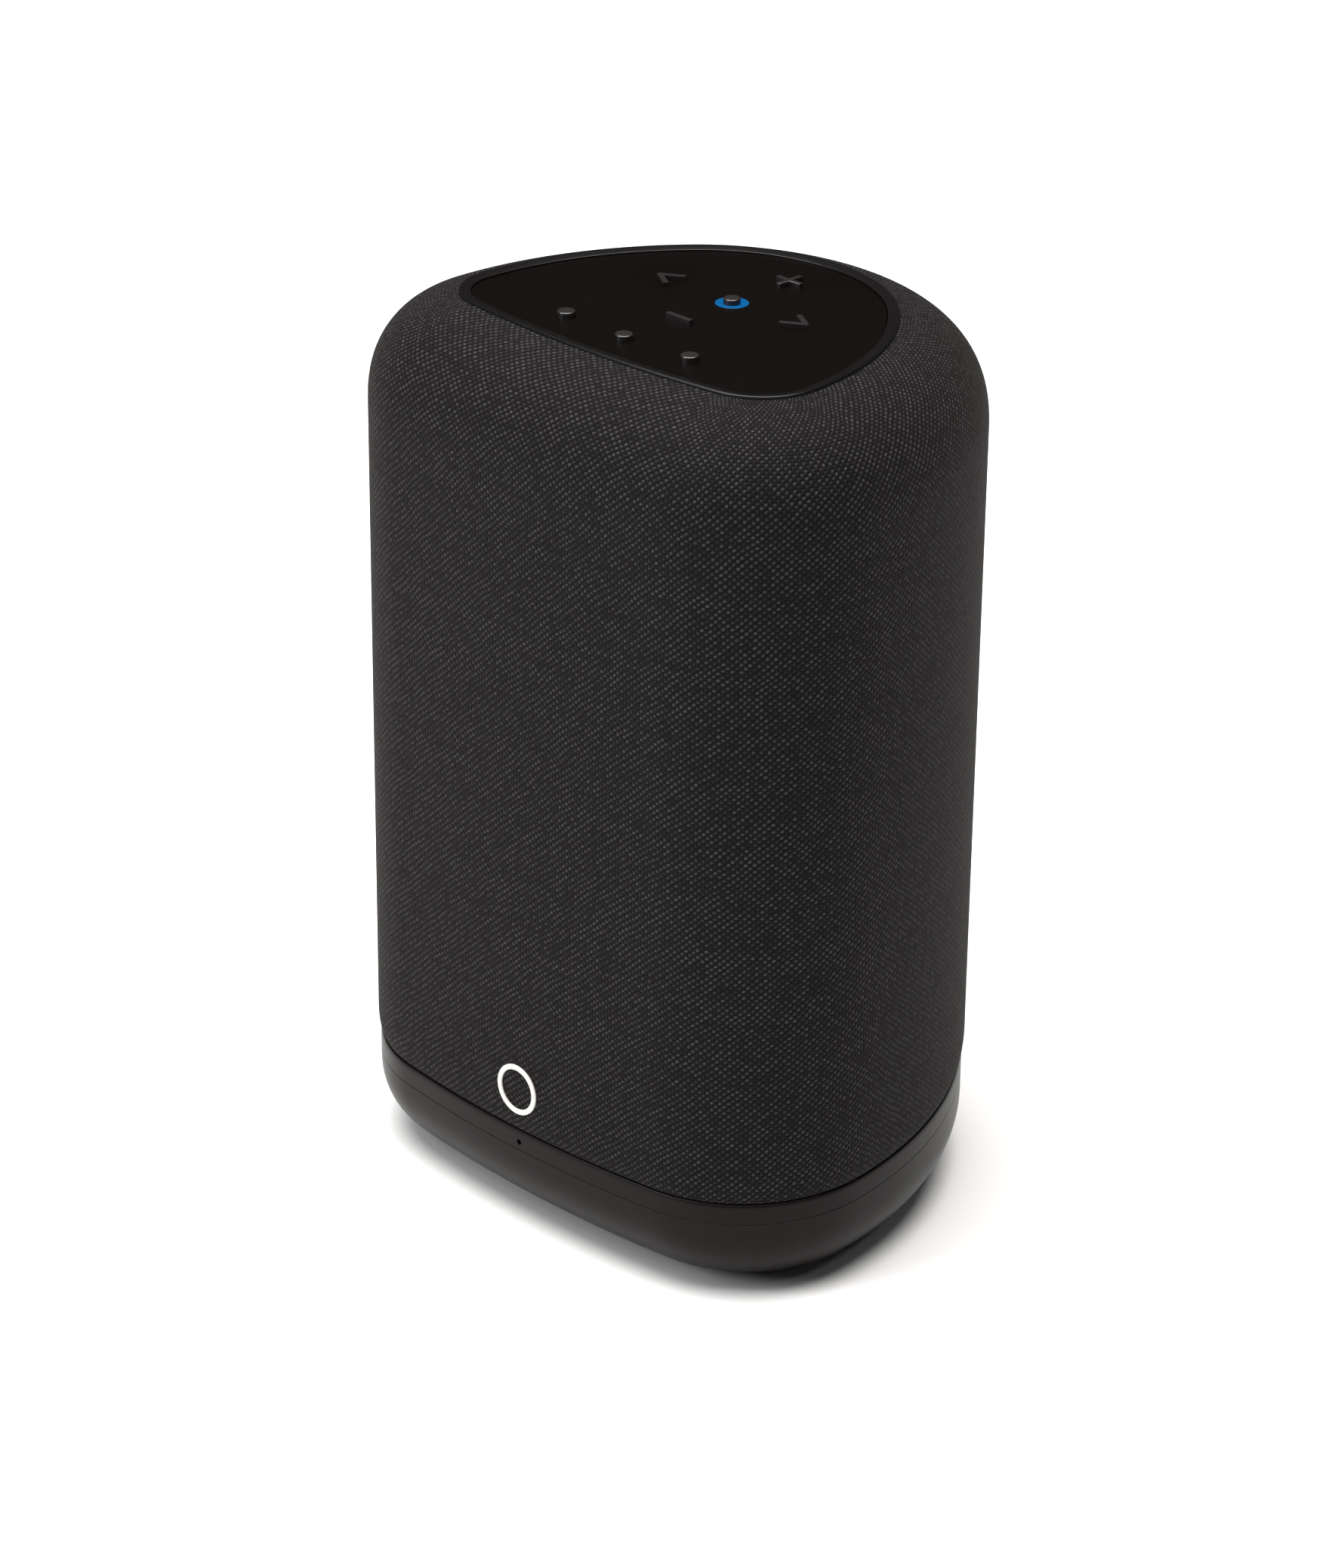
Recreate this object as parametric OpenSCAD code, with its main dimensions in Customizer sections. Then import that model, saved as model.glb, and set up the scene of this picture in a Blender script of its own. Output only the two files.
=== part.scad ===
// Compact fabric-covered wireless speaker with a keypad on top and its sockets at the back.
// Origin: centre of the footprint on the table. +Z is up, and the front face looks along -Y.
// Plan shape: a rounded triangle of six tangent arcs. An inset moves every arc inwards alike.

/* [Body] */
// Width across the two front corners
body_w = 124; // [112:1:155]
// Depth from the front face to the back
body_d = 105; // [96:1:130]
// Height from the table to the top of the rim
total_h = 183; // [165:1:225]
// Plan radius of the two front corners
corner_r = 30.5; // [28:0.5:36]
// Plan radius of the rounded back
back_r = 54.6; // [46:0.2:62]
// How far the front face bows out between its corners
front_bow = 2; // [1:0.2:5]
// How far each side bows out between the front corner and the back
side_bow = 6; // [4:0.5:8]

/* [Cover] */
// Thickness of the knitted cover
cover_t = 1; // [0.6:0.1:1.6]
// Thickness of the rigid frames that carry the cover
frame_t = 2; // [1.5:0.1:2.6]
// Horizontal reach of the shoulder's full curve
shoulder_w = 23.4; // [20:0.2:28]
// Height of the shoulder's full curve
shoulder_h = 21.8; // [16:0.2:26]
// Squareness of the shoulder curve, where 2 is an ellipse
shoulder_n = 2.3; // [1.8:0.1:2.8]
// Drop from the rim's top to the crown of the cover
cover_drop = 0.6; // [0.3:0.1:1.2]

/* [Base] */
// Height of the cover's lower edge at the front
seam_z = 22; // [18:0.5:27]
// How much higher the cover's lower edge is at the back
seam_rise = 4.2; // [0:0.2:6]
// Height of the collar between the cover and the tray
collar_h = 4.5; // [3:0.5:6]
// Inset of the base below the cover
base_inset = 0.5; // [0.2:0.1:1.5]
// Inset of the tray's flat underside
base_round_w = 17.3; // [12:0.1:20]
// Wall of the tray and the collar
base_wall = 2.4; // [1.6:0.1:3]
// How far the rubber foot stands proud of the tray
foot_proud = 0.8; // [0.5:0.1:2]
// Width of the rubber foot's band
foot_w = 4.6; // [3:0.2:6]
// Radius of the microphone port
mic_port_r = 0.6; // [0.4:0.1:1]

/* [Cabinet] */
// Air gap between the cover's frame and the cabinet
cabinet_gap = 3; // [2:0.5:5]
// Wall of the cabinet
cabinet_wall = 3; // [2:0.5:4]
// Depth of the flat baffle behind the front of the body
baffle_depth = 8; // [7.5:0.5:10]
// Thickness of the baffle
baffle_t = 7; // [6:0.5:9]
// Free height between the cabinet's lid and the top of the rim
lid_depth = 23; // [22:0.5:28]

/* [Drivers] */
// Outer radius of the woofer's flange
woofer_r = 40; // [33:0.5:42]
// Depth of the woofer from its flange to the back of its magnet
woofer_depth = 45.6; // [42:0.2:52]
// Gap between the cabinet's floor and the woofer's flange
woofer_lift = 14; // [10:1:20]
// Outer radius of the tweeter's plate
tweeter_r = 18; // [16:0.5:20]
// Gap between the two drivers' flanges
driver_gap = 2; // [1:0.5:5]
// Travel of the woofer's cone each way
cone_travel = 3; // [1:0.5:4]

/* [Keypad] */
// Inset of the rim's outer edge
rim_inset = 17.5; // [16:0.1:19]
// Width of the rim's band
rim_w = 2.4; // [1.6:0.1:3.2]
// Depth of the keypad plate below the top of the rim
plate_sink = 0.75; // [0.3:0.05:1.2]
// Thickness of the keypad plate
plate_t = 1.65; // [1.2:0.05:2]
// Gap around each key in the plate
key_gap = 0.08; // [0.03:0.01:0.1]
// Travel of every key
key_travel = 0.5; // [0.3:0.05:0.6]
// Distance of the play key behind the body's centre
play_y = 4.8; // [0:0.2:8]
// Radius of the play key
play_r = 1.7; // [1.6:0.1:2.4]
// Outer radius of the light ring
light_r = 3.3; // [3.1:0.1:5]
// Radius of each preset key
preset_r = 1.8; // [1.5:0.1:2.6]
// Spacing of the three preset keys
preset_pitch = 16.6; // [14:0.2:19]
// Gap from the plate's front edge to the middle preset key's centre
preset_gap = 8.2; // [7:0.2:12]
// Distance the outer preset keys sit behind the middle one
preset_bow = 0.9; // [0:0.1:2]
// Width of the strokes of the raised symbols
stroke = 1.1; // [0.8:0.1:1.6]
// Length of the plus and minus strokes
stroke_len = 6.4; // [6:0.2:9]
// Length of each arm of the two chevrons
chevron_arm = 5.2; // [4:0.2:6.5]
// Distance of the two chevrons to either side of the play key
chevron_x = 17.4; // [14:0.2:20]
// Distance of the plus behind the play key
plus_y = 16; // [13:0.2:17]
// Distance of the minus in front of the play key
minus_y = 14.4; // [12:0.2:15]

/* [Connectors] */
// Width of the connector panel
panel_w = 48; // [46:1:56]
// Height of the connector panel
panel_h = 39; // [38:1:46]
// Depth of the panel's face below the back of the body
panel_sink = 6.1; // [5:0.1:8]
// Bore radius of the 3.5 mm audio socket
aux_r = 1.8; // [1.78:0.01:1.85]
// Travel of the connect button
connect_travel = 0.5; // [0.3:0.1:0.8]

/* [Hidden] */
$fn = 48;
big = 400;

// ---- plan outline
corner_x = body_w / 2 - corner_r;
front_r = corner_x * corner_x / (2 * front_bow) + corner_r;
front_cy = front_r - body_d / 2;
corner_y = front_cy - sqrt(pow(front_r - corner_r, 2) - pow(corner_x, 2));
back_y = body_d / 2 - back_r;
side_len = norm([corner_x, back_y - corner_y]);
side_r = side_len * side_len / (8 * side_bow) + back_r;
side_run = (pow(side_r - corner_r, 2) - pow(side_r - back_r, 2) + side_len * side_len) / (2 * side_len);
side_deep = sqrt(pow(side_r - corner_r, 2) - side_run * side_run);
side_dir = [-corner_x, back_y - corner_y] / side_len;
side_c = [corner_x, corner_y] + side_dir * side_run - [side_dir.y, -side_dir.x] * side_deep;
front_end = atan2(corner_y - front_cy, corner_x);
corner_end = atan2(corner_y - side_c.y, corner_x - side_c.x);
side_end = atan2(back_y - side_c.y, -side_c.x);

function spaced(from, to, steps) = [for (i = [0:steps - 1]) from + (to - from) * i / steps];
function ray(centre, r, angle) = centre + r * [cos(angle), sin(angle)];
function edge_point(angle, inset) =
  angle < front_end ? ray([0, front_cy], front_r - inset, angle) :
  angle < corner_end ? ray([corner_x, corner_y], corner_r - inset, angle) :
  angle < side_end ? ray(side_c, side_r - inset, angle) :
  ray([0, back_y], back_r - inset, angle);
half_angles = concat(spaced(-90, front_end, 3), spaced(front_end, corner_end, 9),
  spaced(corner_end, side_end, 6), spaced(side_end, 90, 6));
last = len(half_angles) - 1;
function outline(inset) = concat([for (a = half_angles) edge_point(a, inset)], [edge_point(90, inset)],
  [for (i = [last:-1:1]) let (p = edge_point(half_angles[i], inset)) [-p.x, p.y]]);
ring_n = 2 * len(half_angles);

module slab(inset, z0, z1) {
  translate([0, 0, z0]) linear_extrude(z1 - z0) polygon(outline(inset));
}
module band(outer, inner, z0, z1) {
  translate([0, 0, z0]) linear_extrude(z1 - z0) difference() {
    polygon(outline(outer));
    polygon(outline(inner));
  }
}

// Skin through a closed loop of [inset, height, share of the seam's rise] stations.
seam_slope = seam_rise / body_d;
function lift(p, share) = seam_slope * share * (p.y + body_d / 2);
function station_ring(s) = [for (p = outline(s[0])) [p.x, p.y, s[1] + lift(p, s[2])]];
function quad(a, b, c, d) = [[a, b, c], [a, c, d]];
module loop_skin(stations) {
  rows = len(stations);
  faces = [for (j = [0:rows - 1], i = [0:ring_n - 1])
    let (k = (i + 1) % ring_n, up = (j + 1) % rows)
    each quad(j * ring_n + i, up * ring_n + i, up * ring_n + k, j * ring_n + k)];
  polyhedron(points = [for (s = stations) each station_ring(s)], faces = faces);
}
// Open tub: the stations run from the centre of the underside out, up and in to the inner floor.
module tub_skin(stations) {
  rows = len(stations);
  walls = [for (j = [0:rows - 2], i = [0:ring_n - 1])
    let (k = (i + 1) % ring_n)
    each quad(j * ring_n + i, (j + 1) * ring_n + i, (j + 1) * ring_n + k, j * ring_n + k)];
  under = [for (i = [0:ring_n - 1]) i];
  floor_face = [for (i = [ring_n - 1:-1:0]) (rows - 1) * ring_n + i];
  polyhedron(points = [for (s = stations) each station_ring(s)], faces = concat(walls, [under, floor_face]));
}

// ---- heights and insets
shoulder_z = total_h - cover_drop - shoulder_h;
frame_in = cover_t + frame_t;
cabinet_in = frame_in + cabinet_gap;
groove_in = rim_inset + rim_w;
plate_top = total_h - plate_sink;
plate_z = plate_top - plate_t;
bezel_z = plate_z - 1.7;
ledge_w = 2.7;
parting_z = seam_z - collar_h;
chassis_t = 2;
chassis_z = seam_z - 0.1 - chassis_t;
cabinet_z = seam_z;
lid_t = 3;
seal_t = 0.6;
lid_z = total_h - lid_depth + seal_t;
lid_top = lid_z + lid_t;
cabinet_top = lid_z - seal_t;
split_z = shoulder_z - 2;
baffle_y = -body_d / 2 + baffle_depth;
baffle_back = baffle_y + baffle_t;
woofer_z = cabinet_z + woofer_lift + woofer_r;
tweeter_z = woofer_z + woofer_r + driver_gap + tweeter_r;
panel_y = body_d / 2 - panel_sink;
panel_t = 2;
panel_back = panel_y - panel_t;
panel_z = seam_z + seam_rise + 1.4;
rear_pad = 4;

// Shoulder curve: t is how far the surface lies below the cover's outer face.
function bend(value) = pow(value, 2 / shoulder_n);
shoulder_stop = acos(pow(1 - rim_inset / shoulder_w, shoulder_n / 2));
function shoulder(angle, t) = [min(t + shoulder_w * (1 - bend(cos(angle))), rim_inset - 0.05),
  shoulder_z + (shoulder_h - t) * bend(sin(angle)), 0];
function shoulder_rows(t, steps) = [for (i = [1:steps]) shoulder(shoulder_stop * i / steps, t)];
function flipped(rows) = [for (i = [len(rows) - 1:-1:0]) rows[i]];

// ---- base
base_flat_z = foot_proud;
foot_in = base_inset + base_round_w + 1;
foot_bite = 1;
floor_t = 2.6;
screw_r = 1.5;
base_posts = [for (side = [-1, 1]) each [[side * corner_x, corner_y], [side * 14, back_y + 22]]];
post_z = base_flat_z + floor_t - 0.5;
tray_round_h = parting_z - base_flat_z - 1.5;
function tray_rows(t) = [for (i = [6:-1:0])
  [base_inset + t + base_round_w * (1 - cos(15 * i)),
   base_flat_z + t * floor_t / base_wall + (tray_round_h - t) * (1 - sin(15 * i)), 0]];

module rubber_foot() {
  color("dimgray") band(foot_in, foot_in + foot_w, 0, foot_proud + foot_bite);
}
module base_tray() {
  color([0.2, 0.19, 0.18]) difference() {
    union() {
      tub_skin(concat(tray_rows(0), [[base_inset, parting_z, 1], [base_inset + base_wall, parting_z, 1]],
        flipped(tray_rows(base_wall))));
      for (p = base_posts) translate([p.x, p.y, post_z]) cylinder(h = chassis_z - post_z, r = 4.4);
    }
    band(foot_in, foot_in + foot_w, base_flat_z - 1, base_flat_z + foot_bite);
    for (p = base_posts) translate([p.x, p.y, 0]) {
      cylinder(h = base_flat_z + 3, r = 3.3);
      cylinder(h = chassis_z + 1, r = screw_r + 0.2);
    }
  }
}
module cross_head_screw(head_r, head_h, shank_r, shank_len) {
  difference() {
    union() {
      translate([0, 0, -head_h]) cylinder(h = head_h, r = head_r);
      cylinder(h = shank_len, r = shank_r);
    }
    for (turn = [0, 90]) rotate([0, 0, turn]) translate([0, 0, -head_h])
      cube([head_r * 1.2, head_r * 0.24, head_h * 1.2], center = true);
  }
}
module base_screws() {
  color("silver") for (p = base_posts) translate([p.x, p.y, base_flat_z + 3])
    cross_head_screw(3, 2, screw_r, cabinet_z + 2.4 - base_flat_z - 3);
}
module base_collar() {
  color([0.23, 0.22, 0.21]) difference() {
    loop_skin([[base_inset, parting_z, 1], [base_inset, seam_z - 0.15, 1],
      [base_inset + base_wall, seam_z - 0.15, 1], [base_inset + base_wall, parting_z, 1]]);
    translate([0, 0, mic_z]) rotate([90, 0, 0]) cylinder(h = body_d, r = mic_port_r);
  }
}
module chassis_plate() {
  color([0.3, 0.3, 0.31]) difference() {
    slab(base_inset + base_wall + 0.5, chassis_z, chassis_z + chassis_t);
    for (p = base_posts) translate([p.x, p.y, 0]) cylinder(h = total_h, r = screw_r + 0.2);
  }
}
mic_z = parting_z + collar_h * 0.4;
mic_y = -body_d / 2 + base_inset + base_wall + 0.9;
module microphone_board() {
  color("green") difference() {
    translate([-5, mic_y, chassis_z - 5.4]) cube([10, 1, 5.3]);
    translate([0, 0, mic_z]) rotate([90, 0, 0]) cylinder(h = body_d, r = 0.4);
  }
  color("silver") translate([-1.9, mic_y + 1, mic_z - 1.4]) cube([3.8, 1.1, 2]);
}

// ---- cover and its frames
window_gap = 0.3;
module panel_window(grow) {
  translate([-panel_w / 2 - grow, 0, panel_z - grow]) cube([panel_w + 2 * grow, big, panel_h + 2 * grow]);
}
module fabric_cover() {
  color([0.16, 0.15, 0.15]) difference() {
    loop_skin(concat([[0, seam_z, 1], [0, shoulder_z, 0]], shoulder_rows(0, 7),
      flipped(shoulder_rows(cover_t, 7)), [[cover_t, shoulder_z, 0], [cover_t, seam_z, 1]]));
    panel_window(window_gap);
  }
}
slot_w = 7;
slot_h = 8.6;
slot_rib = 2;
slot_cols = floor((2 * corner_x + slot_rib) / (slot_w + slot_rib));
slot_rows = floor((split_z - seam_z - 2 * slot_h + slot_rib) / (slot_h + slot_rib));
module grille_frame() {
  color([0.1, 0.1, 0.1]) difference() {
    band(cover_t + 0.02, frame_in, seam_z, split_z);
    rotate([atan(seam_slope), 0, 0]) translate([-big / 2, -big / 2, seam_z + seam_rise / 2 - big])
      cube([big, big, big]);
    panel_window(window_gap);
    for (col = [0:slot_cols - 1], row = [0:slot_rows - 1])
      translate([(col - slot_cols / 2) * (slot_w + slot_rib) + slot_rib / 2, -big,
        seam_z + slot_h + row * (slot_h + slot_rib)]) cube([slot_w, big + baffle_y, slot_h]);
  }
}
module shoulder_frame() {
  color([0.12, 0.12, 0.12])
    loop_skin(concat([[cover_t + 0.02, split_z + 0.05, 0]], [shoulder(0, cover_t + 0.02)],
      shoulder_rows(cover_t + 0.02, 7), flipped(shoulder_rows(frame_in, 7)),
      [shoulder(0, frame_in), [frame_in, split_z + 0.05, 0]]));
}
badge_z = seam_z + 9.5;
badge_r = 5.4;
module front_badge() {
  color("white") translate([0, -body_d / 2, badge_z]) rotate([90, 0, 0]) difference() {
    cylinder(h = 0.3, r = badge_r);
    translate([0, 0, -1]) cylinder(h = 3, r = badge_r - 1.1);
  }
}

// ---- cabinet
lid_post_in = cabinet_in + cabinet_wall + 3;
lid_posts = [for (side = [-1, 1]) each [[side * (corner_x + corner_r - lid_post_in), corner_y],
  [side * cos(40) * (back_r - lid_post_in), back_y + sin(40) * (back_r - lid_post_in)]]];
module front_cut(y) {
  translate([-big / 2, y - big]) square([big, big]);
}
module cabinet_plan() {
  difference() {
    polygon(outline(cabinet_in));
    front_cut(baffle_y);
  }
}
module cabinet_hollow() {
  difference() {
    polygon(outline(cabinet_in + cabinet_wall));
    front_cut(baffle_back);
    translate([-big / 2, panel_back - rear_pad]) square([big, big]);
  }
}
gasket_t = 0.5;
flange_t = 2.5;
woofer_in = woofer_r - 5;
woofer_screw_at = woofer_r - 2.4;
tweeter_in = tweeter_r - 3.7;
tweeter_screw_at = tweeter_r - 1.9;
module at_woofer() {
  translate([0, baffle_y, woofer_z]) rotate([90, 0, 0]) children();
}
module at_tweeter() {
  translate([0, baffle_y, tweeter_z]) rotate([90, 0, 0]) children();
}
module ring_of(count, radius, first) {
  for (i = [0:count - 1]) rotate([0, 0, first + 360 * i / count]) translate([radius, 0, 0]) children();
}
module cabinet() {
  color([0.14, 0.14, 0.15]) difference() {
    union() {
      difference() {
        translate([0, 0, cabinet_z]) linear_extrude(cabinet_top - cabinet_z) cabinet_plan();
        translate([0, 0, cabinet_z + cabinet_wall]) linear_extrude(big) cabinet_hollow();
      }
      for (p = lid_posts) translate([p.x, p.y, cabinet_z + 1])
        cylinder(h = cabinet_top - cabinet_z - 1, r = 4);
    }
    for (p = lid_posts) translate([p.x, p.y, cabinet_top - 12]) cylinder(h = 20, r = screw_r);
    for (p = base_posts) translate([p.x, p.y, 0]) cylinder(h = cabinet_z + 2.5, r = screw_r);
    at_woofer() {
      translate([0, 0, -flange_t - gasket_t - 0.4]) cylinder(h = 20, r = woofer_r + 0.2);
      translate([0, 0, -30]) cylinder(h = 40, r = woofer_in + 0.2);
      ring_of(4, woofer_screw_at, 45) translate([0, 0, -baffle_t + 0.4]) cylinder(h = 20, r = 1.2);
    }
    at_tweeter() {
      translate([0, 0, -2.4]) cylinder(h = 20, r = tweeter_r + 0.1);
      translate([0, 0, -20]) cylinder(h = 30, r = tweeter_in + 0.3);
      ring_of(3, tweeter_screw_at, 90) translate([0, 0, -baffle_t + 0.4]) cylinder(h = 20, r = 0.9);
    }
    panel_recess();
    translate([-panel_w / 2 + 3, panel_back - 20, panel_z + 3]) cube([panel_w - 6, 40, panel_h - 6]);
    for (side = [-1, 1]) translate([side * panel_screw_x, 0, panel_screw_z]) rotate([-90, 0, 0])
      cylinder(h = big, r = 1.1);
  }
}
module panel_recess() {
  translate([-panel_w / 2 - window_gap, panel_back, panel_z - window_gap])
    cube([panel_w + 2 * window_gap, big, panel_h + 2 * window_gap]);
}
module cabinet_seal() {
  color("black") translate([0, 0, cabinet_top]) linear_extrude(seal_t) difference() {
    polygon(outline(cabinet_in + 0.5));
    front_cut(baffle_y);
    polygon(outline(cabinet_in + 2.2));
  }
}
cable_slot = [14, 3];
module cabinet_lid() {
  color([0.16, 0.16, 0.17]) difference() {
    union() {
      translate([0, 0, lid_z]) linear_extrude(lid_t) cabinet_plan();
      for (p = board_posts) translate([p.x, p.y, lid_top - 1]) cylinder(h = board_z - lid_top + 1, r = 2.6);
    }
    for (p = lid_posts) translate([p.x, p.y, lid_z - 1]) cylinder(h = 20, r = screw_r + 0.2);
    for (p = board_posts) translate([p.x, p.y, lid_z + 1]) cylinder(h = 20, r = 0.9);
    translate([-cable_slot.x / 2, main_y - 0.3 - cable_slot.y / 2, lid_z - 1])
      cube([cable_slot.x, cable_slot.y, 20]);
  }
}
module lid_screws() {
  color("silver") for (p = lid_posts) translate([p.x, p.y, lid_top]) rotate([180, 0, 0])
    cross_head_screw(2.9, 1.8, screw_r, lid_t + seal_t + 9);
}

// ---- woofer, with its own +Z towards the front and 0 on the baffle's face
flange_z = -0.4 - flange_t;
basket_h = 25.6;
roll_r = 2.3;
lip_w = 1.7;
cone_r = woofer_in - lip_w - 2 * roll_r - 0.5;
coil_r = 12;
magnet_z = flange_z - basket_h;
coil_z = magnet_z - 3 - cone_travel;
module woofer_gasket() {
  color("black") at_woofer() difference() {
    translate([0, 0, flange_z - gasket_t]) cylinder(h = gasket_t, r = woofer_r - 0.1);
    translate([0, 0, -30]) cylinder(h = 40, r = woofer_in + 0.4);
    ring_of(4, woofer_screw_at, 45) translate([0, 0, -30]) cylinder(h = 40, r = 1.4);
  }
}
module woofer_basket() {
  color([0.25, 0.25, 0.27]) at_woofer() difference() {
    rotate_extrude() polygon([[woofer_in - lip_w, -0.4], [woofer_r - 0.1, -0.4], [woofer_r - 0.1, flange_z],
      [woofer_in - 0.1, flange_z], [25, magnet_z + 2.5], [25, magnet_z], [16, magnet_z], [16, magnet_z + 2],
      [23.4, magnet_z + 2], [woofer_in - 2.4, flange_z - 1.5], [woofer_in - lip_w, flange_z - 1.5]]);
    ring_of(4, woofer_screw_at, 45) translate([0, 0, -10]) cylinder(h = 40, r = 1.4);
    ring_of(6, 0, 30) translate([15, -6, magnet_z + 5]) cube([30, 12, basket_h - 9]);
  }
}
module woofer_magnet() {
  color("gray") at_woofer() rotate_extrude() polygon([[0, -woofer_depth], [26, -woofer_depth],
    [26, 4 - woofer_depth], [28, 4 - woofer_depth], [28, magnet_z - 4], [26, magnet_z - 4], [26, magnet_z],
    [coil_r + 1, magnet_z], [coil_r + 1, magnet_z - 4], [16, magnet_z - 4], [16, 4 - woofer_depth],
    [coil_r - 0.6, 4 - woofer_depth], [coil_r - 0.6, magnet_z], [0, magnet_z]]);
}
module woofer_spider() {
  waves = [[coil_r + 1.2, 3.6], [15, 4.2], [17, 3.2], [19, 4.2], [21, 3.2], [22.6, 3.6]];
  color("goldenrod") at_woofer() translate([0, 0, magnet_z]) rotate_extrude()
    polygon(concat(waves, [for (p = flipped(waves)) p - [0, 0.4]]));
}
module woofer_surround() {
  color("black") at_woofer() rotate_extrude() {
    translate([woofer_in - lip_w, -0.4]) square([lip_w - 0.1, 0.5]);
    translate([woofer_in - lip_w - roll_r, -0.4]) difference() {
      circle(r = roll_r);
      circle(r = roll_r - 0.5);
      translate([-5, -10]) square([10, 10]);
    }
  }
}
module woofer_cone() {
  color([0.85, 0.84, 0.8]) at_woofer() rotate_extrude() polygon([[cone_r, -1.2], [cone_r, -2],
    [coil_r + 0.6, -14], [coil_r + 0.6, -13], [cone_r - 1, -1.2]]);
}
module dust_cap() {
  dome = [[0, -9], [4, -9.4], [8, -10.6], [11, -12.4], [coil_r, -13.4]];
  color("black") at_woofer() rotate_extrude() polygon(concat(dome, [for (p = flipped(dome)) p - [0, 0.6]]));
}
module voice_coil() {
  color("peru") at_woofer() difference() {
    translate([0, 0, coil_z]) cylinder(h = -14 - coil_z, r = coil_r + 0.6);
    translate([0, 0, magnet_z - 20]) cylinder(h = big, r = coil_r);
  }
}
module woofer_screws() {
  color("silver") at_woofer() ring_of(4, woofer_screw_at, 45) translate([0, 0, -0.4]) rotate([180, 0, 0])
    cross_head_screw(2.2, 1.4, 1.2, baffle_t - 1.2);
}

// ---- tweeter
dome_r = 9.6;
module tweeter_plate() {
  color([0.2, 0.2, 0.21]) at_tweeter() difference() {
    rotate_extrude()
      polygon([[dome_r + 0.8, -2.3], [tweeter_r, -2.3], [tweeter_r, -0.1], [dome_r + 3.6, -0.1]]);
    ring_of(3, tweeter_screw_at, 90) translate([0, 0, -5]) cylinder(h = 10, r = 1.05);
  }
}
module tweeter_dome() {
  color("silver") at_tweeter() rotate_extrude() polygon(concat(
    [for (a = [0:15:90]) [dome_r * sin(a), -2 + 3 * cos(a)]], [[dome_r, -4.5], [dome_r - 0.5, -4.5]],
    [for (a = [90:-15:0]) [(dome_r - 0.5) * sin(a), -2 + 2.6 * cos(a)]]));
}
module tweeter_magnet() {
  color("gray") at_tweeter() difference() {
    translate([0, 0, -14]) cylinder(h = 14 - 2.4, r = tweeter_in);
    translate([0, 0, -8]) cylinder(h = 20, r = dome_r + 0.6);
  }
}
module tweeter_screws() {
  color("silver") at_tweeter() ring_of(3, tweeter_screw_at, 90) translate([0, 0, -0.1]) rotate([180, 0, 0])
    cross_head_screw(1.7, 1, 0.9, baffle_t - 1.2);
}

// ---- keypad: every piece of it hangs from the plate's level
board_t = 1.6;
board_z = lid_top + 6.6;
board_top = board_z + board_t;
board_in = groove_in + ledge_w + 2.6;
board_posts = [for (side = [-1, 1]) each [[side * (corner_x - 7.5), corner_y], [side * 14, back_y + 21]]];
carrier_in = groove_in - 0.2;
carrier_t = 2;
carrier_posts = [for (side = [-1, 1]) each [
  [side * (corner_x + corner_r - carrier_in - 2.4), corner_y],
  [side * cos(60) * (back_r - carrier_in - 2.4), back_y + sin(60) * (back_r - carrier_in - 2.4)]]];
flange_top = plate_z - 0.12;
key_flange_t = 1;
switch_h = 3.4;
switch_w = 6.2;
stem_r = 1.5;
stem_bite = 1.1;
preset_y = -body_d / 2 + groove_in + preset_gap;
key_places = concat([[0, play_y], [-chevron_x, play_y], [chevron_x, play_y], [0, play_y + plus_y],
  [0, play_y - minus_y]], [for (i = [-1:1]) [i * preset_pitch, preset_y + abs(i) * preset_bow]]);

module keypad_carrier() {
  color([0.15, 0.15, 0.16]) union() {
    band(carrier_in, board_in - 0.4, bezel_z - carrier_t, bezel_z);
    for (p = carrier_posts) translate([p.x, p.y, lid_top])
      cylinder(h = bezel_z - carrier_t - lid_top + 0.5, r = 2.3);
  }
}
module bezel_ring() {
  color([0.08, 0.08, 0.08]) loop_skin([[rim_inset, bezel_z, 0], [rim_inset, total_h - 0.3, 0],
    [rim_inset + 0.12, total_h - 0.06, 0], [rim_inset + 0.4, total_h, 0],
    [groove_in - 0.1, total_h - 0.45, 0], [groove_in, plate_top - 0.1, 0], [groove_in, plate_z, 0],
    [groove_in + ledge_w, plate_z, 0], [groove_in + ledge_w, bezel_z, 0]]);
}
module bar_2d(length, grow) {
  square([length + 2 * grow, stroke + 2 * grow], center = true);
}
module chevron_2d(grow) {
  tip = stroke / 3;
  for (turn = [-32, 32]) translate([-chevron_arm * 0.43, 0]) rotate(turn)
    translate([-tip - grow, -stroke / 2 - grow]) square([chevron_arm + tip + 2 * grow, stroke + 2 * grow]);
}
module key_hole(index, grow) {
  if (index == 0) circle(r = play_r + grow);
  if (index == 1) chevron_2d(grow);
  if (index == 2) mirror([1, 0]) chevron_2d(grow);
  if (index == 3) union() {
    bar_2d(stroke_len, grow);
    rotate(90) bar_2d(stroke_len, grow);
  }
  if (index == 4) bar_2d(stroke_len, grow);
  if (index > 4) circle(r = preset_r + grow);
}
module keypad_plate() {
  color([0.09, 0.08, 0.08]) difference() {
    slab(groove_in + 0.12, plate_z, plate_top);
    for (i = [1:7]) translate([key_places[i].x, key_places[i].y, plate_z - 1])
      linear_extrude(5) key_hole(i, key_gap);
    translate([0, play_y, plate_z - 1]) cylinder(h = 5, r = light_r);
  }
}
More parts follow.
